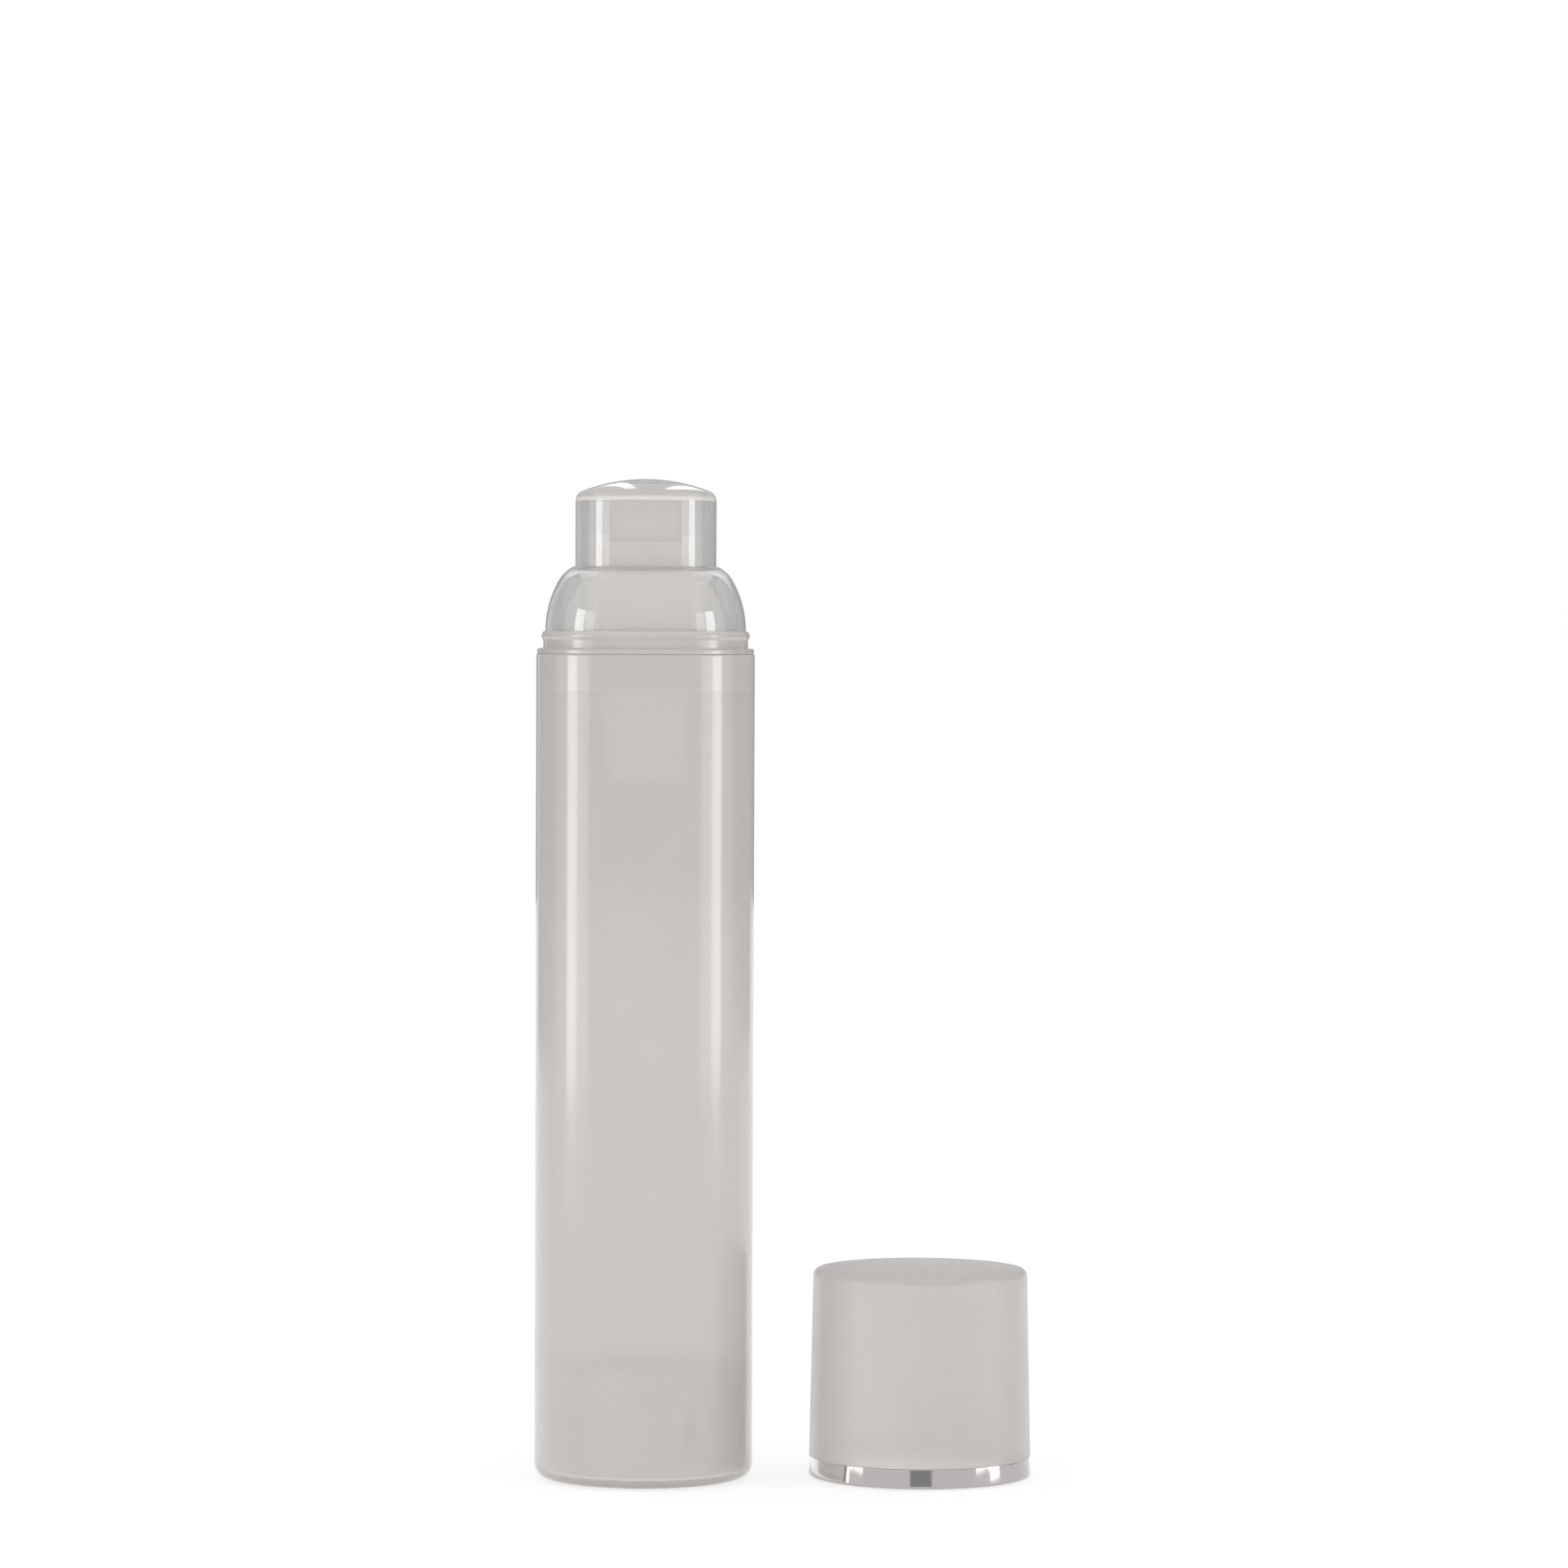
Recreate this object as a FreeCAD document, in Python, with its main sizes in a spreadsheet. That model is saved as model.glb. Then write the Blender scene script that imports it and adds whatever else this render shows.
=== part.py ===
import FreeCAD, Part
import math
import os
import Sketcher

# Airless pump bottle with its overcap taken off and standing beside it.
# Millimetres, +Z up. The origin is the centre of the bottle's flat base, +Y is the side that the outlet
# faces, and the cap stands at +X.

Vector = FreeCAD.Vector

# Turns of a bent stretch of an outline, seen along its way round
LEFT = 1
RIGHT = -1

# Driving dimensions, grouped by the piece that carries them
SIZES = {
    # Bottle body
    "body_radius": 18.5,
    "body_wall": 1.1,
    "body_height": 139.6,
    "base_thickness": 1.5,
    "base_rounding": 2.2,
    "base_inner_rounding": 0.9,
    "rim_rounding": 0.3,
    "vent_radius": 0.75,
    "vent_offset": 8.0,
    "vent_groove_width": 1.6,
    "vent_groove_depth": 0.3,
    # Collar: flange, neck, snap bead and dome
    "flange_thickness": 0.9,
    "flange_inset": 0.15,
    "flange_rounding": 0.3,
    "neck_inset": 1.17,
    "bead_start": 1.45,
    "bead_height": 1.55,
    "bead_proud": 0.45,
    "dome_inset": 0.36,
    "dome_height": 11.4,
    "shoulder_share": 0.8,
    "crest_inset": 2.5,
    "collar_wall": 1.2,
    "opening_gap": 0.28,
    # Collar: plug skirt inside the bottle's mouth, and the shelf that presses the gasket
    "skirt_length": 6.1,
    "skirt_wall": 1.12,
    "skirt_fit": 0.03,
    "snap_drop": 4.4,
    "snap_height": 1.0,
    "snap_depth": 0.2,
    "lip_height": 0.6,
    "lip_reach": 0.35,
    "shelf_lift": 0.2,
    "shelf_thickness": 0.9,
    "shelf_reach": 1.45,
    # Pump housing and its gasket
    "chamber_share": 0.3108,
    "housing_wall": 1.1,
    "housing_depth": 15.6,
    "housing_rise": 11.7,
    "housing_fit": 0.05,
    "housing_rim_wall": 1.1,
    "web_thickness": 1.2,
    "chamber_floor": 3.0,
    "inlet_radius": 1.3,
    "inlet_length": 1.6,
    "gasket_thickness": 0.5,
    # Valve seats, in degrees from the axis, and the gap between a ball and its seat
    "seat_angle": 45.0,
    "ball_gap": 0.02,
    # Inlet valve and its cage
    "inlet_ball_radius": 2.0,
    "inlet_ball_side_gap": 0.5,
    "inlet_lift": 0.9,
    "cage_wall": 0.8,
    "cage_flange": 1.0,
    "cage_roof": 0.9,
    "cage_hole_radius": 0.6,
    "cage_hole_margin": 0.3,
    "cage_hole_count": 3,
    # Return spring
    "spring_wire": 0.8,
    "spring_turns": 6.5,
    # Pump piston and its retainer
    "piston_fit": 0.03,
    "piston_height": 4.7,
    "piston_lip": 0.8,
    "piston_flare": 0.5,
    "piston_relief": 0.6,
    "piston_stop_gap": 0.2,
    "retainer_thickness": 0.8,
    "retainer_gap": 0.85,
    "retainer_fit": 0.02,
    # Stem and outlet valve
    "stem_share": 0.5217,
    "stem_fit": 0.03,
    "stem_bore": 1.0,
    "stem_floor": 0.7,
    "stem_tail": 3.3,
    "stem_headroom": 8.15,
    "stem_groove_depth": 0.3,
    "stem_collar_reach": 0.8,
    "stem_collar_height": 0.8,
    "port_radius": 0.7,
    "port_height": 1.6,
    "outlet_ball_radius": 1.5,
    "outlet_ball_side_gap": 0.35,
    "outlet_lift": 0.8,
    # Stem guide
    "guide_plug_length": 3.5,
    "guide_flange": 1.0,
    # Actuator
    "actuator_share": 0.6443,
    "actuator_reach": 28.65,
    "actuator_wall": 1.05,
    "skirt_clearance": 2.7,
    "crown_radius": 29.5,
    "crown_rounding": 1.8,
    "sleeve_gap": 1.0,
    "sleeve_wall": 1.0,
    "bell_gap": 0.25,
    "bell_wall": 1.0,
    "bell_roof": 1.2,
    "bell_drop": 2.5,
    "bell_tail": 0.8,
    "socket_wall": 1.17,
    "socket_gap": 0.05,
    "press_stroke": 6.0,
    "press_stop_gap": 0.3,
    "slot_width": 1.2,
    "slot_length": 3.4,
    "channel_radius": 1.1,
    "channel_wall": 1.5,
    # Nozzle insert
    "nozzle_rise": 1.55,
    "nozzle_radius": 2.0,
    "nozzle_depth": 2.5,
    "nozzle_inset": 0.3,
    "nozzle_fit": 0.02,
    "orifice_radius": 0.6,
    "orifice_flare": 0.5,
    # Follower piston
    "follower_fit": 0.03,
    "follower_stand": 0.3,
    "follower_lip": 1.5,
    "follower_flare": 1.0,
    "follower_relief": 0.5,
    "follower_wall": 1.0,
    "follower_crown": 1.2,
    "follower_foot": 0.5,
    "well_gap": 0.55,
    "well_clearance": 0.3,
    # Cap and its band
    "cap_fit": 0.07,
    "cap_wall": 1.24,
    "cap_draft": 0.74,
    "cap_top": 1.3,
    "cap_rounding": 1.1,
    "cap_inner_rounding": 0.8,
    "cap_headroom": 5.25,
    "cap_rib_start": 0.5,
    "cap_rib_height": 0.9,
    "cap_rib_proud": 0.2,
    "cap_spacing": 9.62,
    "cap_setback": 2.64,
    "band_height": 3.2,
    "band_thickness": 0.35,
    "band_lift": 0.1,
    "band_fit": 0.02,
    "band_rounding": 0.25,
    # How far a cut runs past the surface that it opens
    "overrun": 1.0,
}

# Radii and levels that follow from the driving dimensions, in the order in which they build on each other
PLACES = {
    # Radii of the pump and the press head, as shares of the bottle's, and of the stem, as a share of the pump's
    "chamber_radius": "dim.chamber_share * dim.body_radius",
    "stem_radius": "dim.stem_share * place.chamber_radius",
    "actuator_radius": "dim.actuator_share * dim.body_radius",
    # Bottle mouth and collar
    "bore_radius": "dim.body_radius - dim.body_wall",
    "snap_high": "dim.body_height - dim.snap_drop + dim.snap_height / 2",
    "snap_low": "place.snap_high - dim.snap_height",
    "snap_round": "((dim.snap_height / 2) ^ 2 + dim.snap_depth ^ 2) / (2 * dim.snap_depth)",
    "skirt_radius": "place.bore_radius - dim.skirt_fit",
    "skirt_inside": "place.skirt_radius - dim.skirt_wall",
    "skirt_end": "dim.body_height - dim.skirt_length",
    "flange_radius": "dim.body_radius - dim.flange_inset",
    "ledge": "dim.body_height + dim.flange_thickness",
    "neck_radius": "dim.body_radius - dim.neck_inset",
    "bead_low": "place.ledge + dim.bead_start",
    "dome_base": "place.bead_low + dim.bead_height",
    "dome_radius": "place.neck_radius - dim.dome_inset",
    "bead_chord": "sqrt(dim.bead_height ^ 2 + dim.dome_inset ^ 2)",
    "bead_round": "((place.bead_chord / 2) ^ 2 + dim.bead_proud ^ 2) / (2 * dim.bead_proud)",
    "bead_radius": "(place.neck_radius + place.dome_radius) / 2 + dim.bead_proud",
    # Dome: a shoulder arc whose crest lies just inside the opening, and a side arc tangent to it
    "opening_radius": "place.actuator_radius + dim.opening_gap",
    "crest_radius": "place.opening_radius - dim.crest_inset",
    "dome_crest": "place.dome_base + dim.dome_height",
    "dome_span": "place.dome_radius - place.crest_radius",
    "shoulder_round": "dim.shoulder_share * place.dome_span",
    "shoulder_level": "place.dome_crest - place.shoulder_round",
    "shoulder_rise": "place.shoulder_level - place.dome_base",
    "side_round": "(place.dome_span ^ 2 + place.shoulder_rise ^ 2 - place.shoulder_round ^ 2)"
                  " / (2 * (place.dome_span - place.shoulder_round))",
    "side_centre": "place.dome_radius - place.side_round",
    "tangent_across": "(place.crest_radius - place.side_centre) / (place.side_round - place.shoulder_round)",
    "tangent_up": "place.shoulder_rise / (place.side_round - place.shoulder_round)",
    "side_inner_round": "place.side_round - dim.collar_wall",
    "shoulder_inner_round": "place.shoulder_round - dim.collar_wall",
    "opening_top": "place.shoulder_level + sqrt(place.shoulder_round ^ 2 - dim.crest_inset ^ 2)",
    "opening_under": "place.shoulder_level + sqrt(place.shoulder_inner_round ^ 2 - dim.crest_inset ^ 2)",
    "shelf_under": "dim.body_height + dim.shelf_lift",
    "shelf_top": "place.shelf_under + dim.shelf_thickness",
    "shelf_radius": "place.skirt_inside - dim.shelf_reach",
    "lip_radius": "place.skirt_inside - dim.lip_reach",
    # Pump housing
    "web_under": "place.skirt_end + dim.lip_height",
    "web_top": "place.web_under + dim.web_thickness",
    "web_radius": "place.skirt_inside - dim.housing_fit",
    "rim_inside": "place.web_radius - dim.housing_rim_wall",
    "rim_top": "place.shelf_under - dim.gasket_thickness",
    "housing_radius": "place.chamber_radius + dim.housing_wall",
    "housing_end": "place.web_under - dim.housing_depth",
    "housing_top": "place.web_top + dim.housing_rise",
    "floor_top": "place.housing_end + dim.chamber_floor",
    "seat_start": "place.housing_end + dim.inlet_length",
    "seat_radius": "dim.inlet_radius + (place.floor_top - place.seat_start) * tan(dim.seat_angle)",
    # Inlet valve
    "inlet_ball_centre": "place.seat_start - dim.inlet_radius / tan(dim.seat_angle)"
                         " + (dim.inlet_ball_radius + dim.ball_gap) / sin(dim.seat_angle)",
    "cage_inside": "dim.inlet_ball_radius + dim.inlet_ball_side_gap",
    "cage_radius": "place.cage_inside + dim.cage_wall",
    "cage_seat": "place.floor_top + dim.cage_flange",
    "cage_stop": "place.inlet_ball_centre + dim.inlet_ball_radius + dim.inlet_lift + dim.ball_gap",
    "cage_end": "place.cage_stop + dim.cage_roof",
    "cage_flange_radius": "place.chamber_radius - dim.piston_fit",
    "cage_hole_offset": "place.cage_inside - dim.cage_hole_radius - dim.cage_hole_margin",
    # Stem guide, piston, retainer and spring, downwards from the housing's top
    "plug_radius": "place.chamber_radius - dim.piston_fit",
    "plug_end": "place.housing_top - dim.guide_plug_length",
    "guide_top": "place.housing_top + dim.guide_flange",
    "stem_hole": "place.stem_radius + dim.stem_fit",
    "piston_top": "place.plug_end - dim.piston_stop_gap",
    "piston_end": "place.piston_top - dim.piston_height",
    "piston_radius": "place.chamber_radius - dim.piston_fit",
    "piston_waist": "place.piston_radius - dim.piston_relief",
    "stem_collar_radius": "place.stem_radius + dim.stem_collar_reach",
    "stem_collar_under": "place.piston_top - dim.stem_collar_height",
    "counterbore_radius": "place.stem_collar_radius + dim.stem_fit",
    "counterbore_floor": "place.stem_collar_under - dim.stem_fit",
    "retainer_end": "place.piston_end - dim.retainer_thickness",
    "retainer_radius": "place.chamber_radius - dim.retainer_gap",
    "groove_radius": "place.stem_radius - dim.stem_groove_depth",
    "spring_radius": "(place.cage_radius + place.chamber_radius) / 2",
    # Stem and outlet valve
    "stem_end": "place.retainer_end - dim.stem_tail",
    "actuator_top": "place.ledge + dim.actuator_reach",
    "stem_top": "place.actuator_top - dim.stem_headroom",
    "port_level": "place.stem_end + dim.port_height",
    "socket_roof": "place.stem_top + dim.socket_gap",
    "outlet_ball_high": "place.socket_roof - sqrt(dim.outlet_ball_radius ^ 2 - (dim.slot_width / 2) ^ 2)",
    "outlet_ball_centre": "place.outlet_ball_high - dim.outlet_lift - dim.ball_gap",
    "outlet_seat": "place.outlet_ball_centre + dim.stem_bore / tan(dim.seat_angle)"
                   " - (dim.outlet_ball_radius + dim.ball_gap) / sin(dim.seat_angle)",
    "outlet_pocket": "dim.outlet_ball_radius + dim.outlet_ball_side_gap",
    "outlet_pocket_floor": "place.outlet_seat + (place.outlet_pocket - dim.stem_bore) / tan(dim.seat_angle)",
    # Actuator: a ball-shaped crown rounded into a straight wall, with the inside one wall thickness in
    "actuator_end": "place.web_top + dim.press_stroke + dim.skirt_clearance",
    "actuator_inside": "place.actuator_radius - dim.actuator_wall",
    "crown_centre": "place.actuator_top - dim.crown_radius",
    "rounding_radius": "place.actuator_radius - dim.crown_rounding",
    "rounding_rise": "sqrt((dim.crown_radius - dim.crown_rounding) ^ 2 - place.rounding_radius ^ 2)",
    "rounding_level": "place.crown_centre + place.rounding_rise",
    "crown_edge_scale": "dim.crown_radius / (dim.crown_radius - dim.crown_rounding)",
    "ceiling_round": "dim.crown_radius - dim.actuator_wall",
    "ceiling_edge_scale": "place.ceiling_round / (dim.crown_radius - dim.crown_rounding)",
    "socket_radius": "place.stem_hole + dim.socket_wall",
    "socket_end": "place.guide_top + dim.press_stroke + dim.press_stop_gap",
    "sleeve_inside": "place.socket_radius + dim.sleeve_gap",
    "sleeve_radius": "place.sleeve_inside + dim.sleeve_wall",
    "bell_inside": "place.housing_radius + dim.bell_gap",
    "bell_radius": "place.bell_inside + dim.bell_wall",
    "bell_top": "place.stem_top - dim.bell_drop",
    "bell_under": "place.bell_top - dim.bell_roof",
    "bell_end": "place.actuator_end - dim.bell_tail",
    "nozzle_level": "place.socket_roof + dim.nozzle_rise",
    "channel_end": "place.actuator_radius - dim.actuator_wall / 2",
    "nozzle_floor": "place.actuator_radius - dim.nozzle_depth",
    "nozzle_face": "place.actuator_radius - dim.nozzle_inset",
    "insert_radius": "dim.nozzle_radius - dim.nozzle_fit",
    # Follower piston, deep enough in its well to pass the pump housing at the top of its way
    "well_radius": "place.housing_radius + dim.well_gap",
    "well_depth": "place.skirt_end - place.housing_end + dim.well_clearance",
    "follower_radius": "place.bore_radius - dim.follower_fit",
    "follower_waist": "place.follower_radius - dim.follower_relief",
    "follower_end": "dim.base_thickness + dim.follower_stand",
    "well_under": "place.follower_end + dim.follower_foot",
    "well_floor": "place.well_under + dim.follower_crown",
    "follower_top": "place.well_floor + place.well_depth",
    # Cap, mouth down, and its band
    "mouth_inside": "place.bead_radius + dim.cap_fit",
    "mouth_radius": "place.mouth_inside + dim.cap_wall",
    "cap_height": "dim.actuator_reach + dim.cap_headroom + dim.cap_top",
    "cap_slope": "dim.cap_draft / place.cap_height",
    "cap_ceiling": "place.cap_height - dim.cap_top",
    "cap_corner": "place.cap_height - dim.cap_rounding",
    "cap_corner_radius": "place.mouth_radius - place.cap_slope * place.cap_corner",
    "cap_inner_corner": "place.cap_ceiling - dim.cap_inner_rounding",
    "cap_inner_corner_radius": "place.mouth_inside - place.cap_slope * place.cap_inner_corner",
    "rib_top": "dim.cap_rib_start + dim.cap_rib_height",
    "rib_round": "((dim.cap_rib_height / 2) ^ 2 + dim.cap_rib_proud ^ 2) / (2 * dim.cap_rib_proud)",
    "band_top": "dim.band_lift + dim.band_height",
    "band_inside": "place.mouth_radius - dim.band_thickness",
    "band_seat_radius": "place.band_inside - dim.band_fit",
    "band_seat_top": "place.band_top + dim.band_fit",
    "cap_across": "dim.body_radius + place.mouth_radius + dim.cap_spacing",
}

doc = FreeCAD.newDocument("airless_pump_bottle")


def fill_sheet(name, entries, prefix=""):
    """Make a sheet with one named row per entry."""
    sheet = doc.addObject("Spreadsheet::Sheet", name)
    for row, (alias, content) in enumerate(entries.items(), start=1):
        sheet.set(f"A{row}", alias)
        sheet.set(f"B{row}", f"{prefix}{content}")
        sheet.setAlias(f"B{row}", alias)
    doc.recompute()
    return sheet


dim = fill_sheet("dim", SIZES)
place = fill_sheet("place", PLACES, prefix="=")


def value(expression):
    """Number that an expression on the sheets has now."""
    return float(dim.evalExpression(expression))


def new_body(name):
    """Empty body whose label is the piece's name."""
    body = doc.addObject("PartDesign::Body", name)
    body.Label = name
    return body


def new_sketch(body, name, role):
    """Empty sketch on one of the body's own origin planes."""
    sketch = body.newObject("Sketcher::SketchObject", f"{body.Name}_{name}")
    planes = [feature for feature in body.Origin.OriginFeatures if feature.Role == role]
    sketch.AttachmentSupport = [(planes[0], "")]
    sketch.MapMode = "FlatFace"
    return sketch


def bind(sketch, kind, expression, *elements):
    """Add a dimension to the sketch and bind it to an expression."""
    index = sketch.addConstraint(Sketcher.Constraint(kind, *elements, value(expression)))
    sketch.setExpression(f"Constraints[{index}]", expression)


def bent_stretch(start, end, radius, turn):
    """Arc between two points, shorter than a half circle, that turns left or right on its way."""
    chord = end - start
    middle = (start + end) / 2
    to_left = Vector(-chord.y, chord.x, 0).normalize()
    reach = math.sqrt(radius ** 2 - (chord.Length / 2) ** 2)
    centre = middle + to_left * reach * turn
    first, last = (start, end) if turn == LEFT else (end, start)
    first_angle = math.atan2(first.y - centre.y, first.x - centre.x)
    last_angle = math.atan2(last.y - centre.y, last.x - centre.x)
    circle = Part.Circle(centre, Vector(0, 0, 1), radius)
    return Part.ArcOfCircle(circle, first_angle, last_angle)


def draw_outline(body, name, corners, role="XZ_Plane"):
    """Closed outline through corners of two expressions each, across and up.

    A corner with a radius and a turn besides starts a bent stretch, and the others start straight ones.
    """
    sketch = new_sketch(body, name, role)
    points = [Vector(value(corner[0]), value(corner[1]), 0) for corner in corners]
    ends = []
    for index, corner in enumerate(corners):
        start = points[index]
        end = points[(index + 1) % len(points)]
        if len(corner) == 2:
            edge = sketch.addGeometry(Part.LineSegment(start, end), False)
            ends.append((edge, 1, 2))
        else:
            radius, turn = corner[2:]
            edge = sketch.addGeometry(bent_stretch(start, end, value(radius), turn), False)
            ends.append((edge, 1, 2) if turn == LEFT else (edge, 2, 1))
    for index, (edge, first, last) in enumerate(ends):
        next_edge, next_first, _ = ends[(index + 1) % len(ends)]
        sketch.addConstraint(Sketcher.Constraint("Coincident", edge, last, next_edge, next_first))
    for corner, (edge, first, last) in zip(corners, ends):
        for kind, expression, axis in (("DistanceX", corner[0], -2), ("DistanceY", corner[1], -1)):
            if expression == "0":
                sketch.addConstraint(Sketcher.Constraint("PointOnObject", edge, first, axis))
            else:
                bind(sketch, kind, expression, -1, 1, edge, first)
        if len(corner) > 2:
            bind(sketch, "Radius", corner[2], edge)
    return sketch


def draw_circle(body, name, role, across, up, radius):
    """Circle whose centre and radius are expressions."""
    sketch = new_sketch(body, name, role)
    centre = Vector(value(across), value(up), 0)
    edge = sketch.addGeometry(Part.Circle(centre, Vector(0, 0, 1), value(radius)), False)
    for kind, expression, axis in (("DistanceX", across, -2), ("DistanceY", up, -1)):
        if expression == "0":
            sketch.addConstraint(Sketcher.Constraint("PointOnObject", edge, 3, axis))
        else:
            bind(sketch, kind, expression, -1, 1, edge, 3)
    bind(sketch, "Radius", radius, edge)
    return sketch


def add_lying_axis(sketch):
    """Construction line along the outline's first stretch, to turn the outline about."""
    line = sketch.Geometry[0]
    axis = sketch.addGeometry(Part.LineSegment(line.StartPoint, line.EndPoint), True)
    for point in (1, 2):
        sketch.addConstraint(Sketcher.Constraint("Coincident", axis, point, 0, point))


def turned(body, sketch, kind="Revolution", axis="V_Axis"):
    """Full turn of a sketch, as material or as a Groove."""
    feature = body.newObject(f"PartDesign::{kind}", f"{sketch.Name}_{kind}")
    feature.Profile = (sketch, [""])
    feature.ReferenceAxis = (sketch, [axis])
    feature.Angle = 360
    doc.recompute()
    return feature


def straight(body, sketch, kind, length=None, both_ways=False, flipped=False):
    """Pad or Pocket of a sketch by a length, or through everything where there is none."""
    feature = body.newObject(f"PartDesign::{kind}", f"{sketch.Name}_{kind}")
    feature.Profile = (sketch, [""])
    feature.SideType = "Symmetric" if both_ways else "One side"
    feature.Reversed = flipped
    if length is None:
        feature.Type = "ThroughAll"
    else:
        feature.setExpression("Length", length)
    doc.recompute()
    return feature


def repeat_round(body, feature, count):
    """Copies of a feature all round the body's upright axis."""
    pattern = body.newObject("PartDesign::PolarPattern", f"{feature.Name}_round")
    pattern.Originals = [feature]
    axes = [axis for axis in body.Origin.OriginFeatures if axis.Role == "Z_Axis"]
    pattern.Axis = (axes[0], [""])
    pattern.Angle = 360
    pattern.setExpression("Occurrences", count)
    body.Tip = pattern
    doc.recompute()


def turned_piece(name, corners):
    """Piece that is one outline turned about the upright axis."""
    body = new_body(name)
    turned(body, draw_outline(body, "outline", corners))
    return body


def bottle_body():
    """Long cylinder with a closed base, a snap groove in its mouth and an air vent for the follower."""
    body = turned_piece("bottle_body", [
        ("0", "0"),
        ("dim.body_radius - dim.base_rounding", "0", "dim.base_rounding", LEFT),
        ("dim.body_radius", "dim.base_rounding"),
        ("dim.body_radius", "dim.body_height - dim.rim_rounding", "dim.rim_rounding", LEFT),
        ("dim.body_radius - dim.rim_rounding", "dim.body_height"),
        ("place.bore_radius", "dim.body_height"),
        ("place.bore_radius", "place.snap_high", "place.snap_round", RIGHT),
        ("place.bore_radius", "place.snap_low"),
        ("place.bore_radius", "dim.base_thickness + dim.base_inner_rounding", "dim.base_inner_rounding", RIGHT),
        ("place.bore_radius - dim.base_inner_rounding", "dim.base_thickness"),
        ("0", "dim.base_thickness"),
    ])
    vent = draw_circle(body, "vent", "XY_Plane", "0", "dim.vent_offset", "dim.vent_radius")
    straight(body, vent, "Pocket", "dim.base_thickness + dim.overrun", flipped=True)
    groove = draw_outline(body, "vent_groove", [
        ("-dim.vent_groove_width / 2", "dim.vent_offset"),
        ("dim.vent_groove_width / 2", "dim.vent_offset"),
        ("dim.vent_groove_width / 2", "dim.body_radius + dim.overrun"),
        ("-dim.vent_groove_width / 2", "dim.body_radius + dim.overrun"),
    ], "XY_Plane")
    straight(body, groove, "Pocket", "dim.vent_groove_depth", flipped=True)
    return body


def collar():
    """Domed shoulder on the bottle's rim, with a bead for the cap and a plug skirt that holds the pump."""
    return turned_piece("collar", [
        ("place.lip_radius", "place.skirt_end"),
        ("place.skirt_radius", "place.skirt_end"),
        ("place.skirt_radius", "place.snap_low", "place.snap_round", LEFT),
        ("place.skirt_radius", "place.snap_high"),
        ("place.skirt_radius", "dim.body_height"),
        ("place.flange_radius", "dim.body_height"),
        ("place.flange_radius", "place.ledge - dim.flange_rounding", "dim.flange_rounding", LEFT),
        ("place.flange_radius - dim.flange_rounding", "place.ledge"),
        ("place.neck_radius", "place.ledge"),
        ("place.neck_radius", "place.bead_low", "place.bead_round", LEFT),
        ("place.dome_radius", "place.dome_base", "place.side_round", LEFT),
        ("place.side_centre + place.side_round * place.tangent_across",
         "place.dome_base + place.side_round * place.tangent_up", "place.shoulder_round", LEFT),
        ("place.opening_radius", "place.opening_top"),
        ("place.opening_radius", "place.opening_under", "place.shoulder_inner_round", RIGHT),
        ("place.side_centre + place.side_inner_round * place.tangent_across",
         "place.dome_base + place.side_inner_round * place.tangent_up", "place.side_inner_round", RIGHT),
        ("place.dome_radius - dim.collar_wall", "place.dome_base"),
        ("place.dome_radius - dim.collar_wall", "place.shelf_top"),
        ("place.shelf_radius", "place.shelf_top"),
        ("place.shelf_radius", "place.shelf_under"),
        ("place.skirt_inside", "place.shelf_under"),
        ("place.skirt_inside", "place.web_under"),
        ("place.lip_radius", "place.web_under"),
    ])


def pump_housing():
    """Pump cylinder with a ball seat in its floor, hung in the collar's skirt by a web and a rim."""
    return turned_piece("pump_housing", [
        ("dim.inlet_radius", "place.housing_end"),
        ("place.housing_radius", "place.housing_end"),
        ("place.housing_radius", "place.web_under"),
        ("place.web_radius", "place.web_under"),
        ("place.web_radius", "place.rim_top"),
        ("place.rim_inside", "place.rim_top"),
        ("place.rim_inside", "place.web_top"),
        ("place.housing_radius", "place.web_top"),
        ("place.housing_radius", "place.housing_top"),
        ("place.chamber_radius", "place.housing_top"),
        ("place.chamber_radius", "place.floor_top"),
        ("place.seat_radius", "place.floor_top"),
        ("dim.inlet_radius", "place.seat_start"),
    ])


def housing_gasket():
    """Flat ring between the housing's rim and the collar's shelf."""
    return turned_piece("housing_gasket", [
        ("place.rim_inside", "place.rim_top"),
        ("place.web_radius", "place.rim_top"),
        ("place.web_radius", "place.shelf_under"),
        ("place.rim_inside", "place.shelf_under"),
    ])


def stem_guide():
    """Flanged plug that closes the housing's top and guides the stem."""
    return turned_piece("stem_guide", [
        ("place.stem_hole", "place.plug_end"),
        ("place.plug_radius", "place.plug_end"),
        ("place.plug_radius", "place.housing_top"),
        ("place.housing_radius", "place.housing_top"),
        ("place.housing_radius", "place.guide_top"),
        ("place.stem_hole", "place.guide_top"),
    ])


def inlet_cage():
    """Flanged thimble over the inlet ball, with holes in its roof."""
    body = turned_piece("inlet_cage", [
        ("place.cage_inside", "place.floor_top"),
        ("place.cage_flange_radius", "place.floor_top"),
        ("place.cage_flange_radius", "place.cage_seat"),
        ("place.cage_radius", "place.cage_seat"),
        ("place.cage_radius", "place.cage_end"),
        ("0", "place.cage_end"),
        ("0", "place.cage_stop"),
        ("place.cage_inside", "place.cage_stop"),
    ])
    hole = draw_circle(body, "hole", "XY_Plane", "place.cage_hole_offset", "0", "dim.cage_hole_radius")
    cut = straight(body, hole, "Pocket", flipped=True)
    repeat_round(body, cut, "dim.cage_hole_count")
    return body


def ball(name, radius, level):
    """Valve ball on the axis."""
    sphere = doc.addObject("Part::Sphere", name)
    sphere.Label = name
    sphere.setExpression("Radius", radius)
    sphere.setExpression("Placement.Base.z", level)
    return sphere


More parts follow.
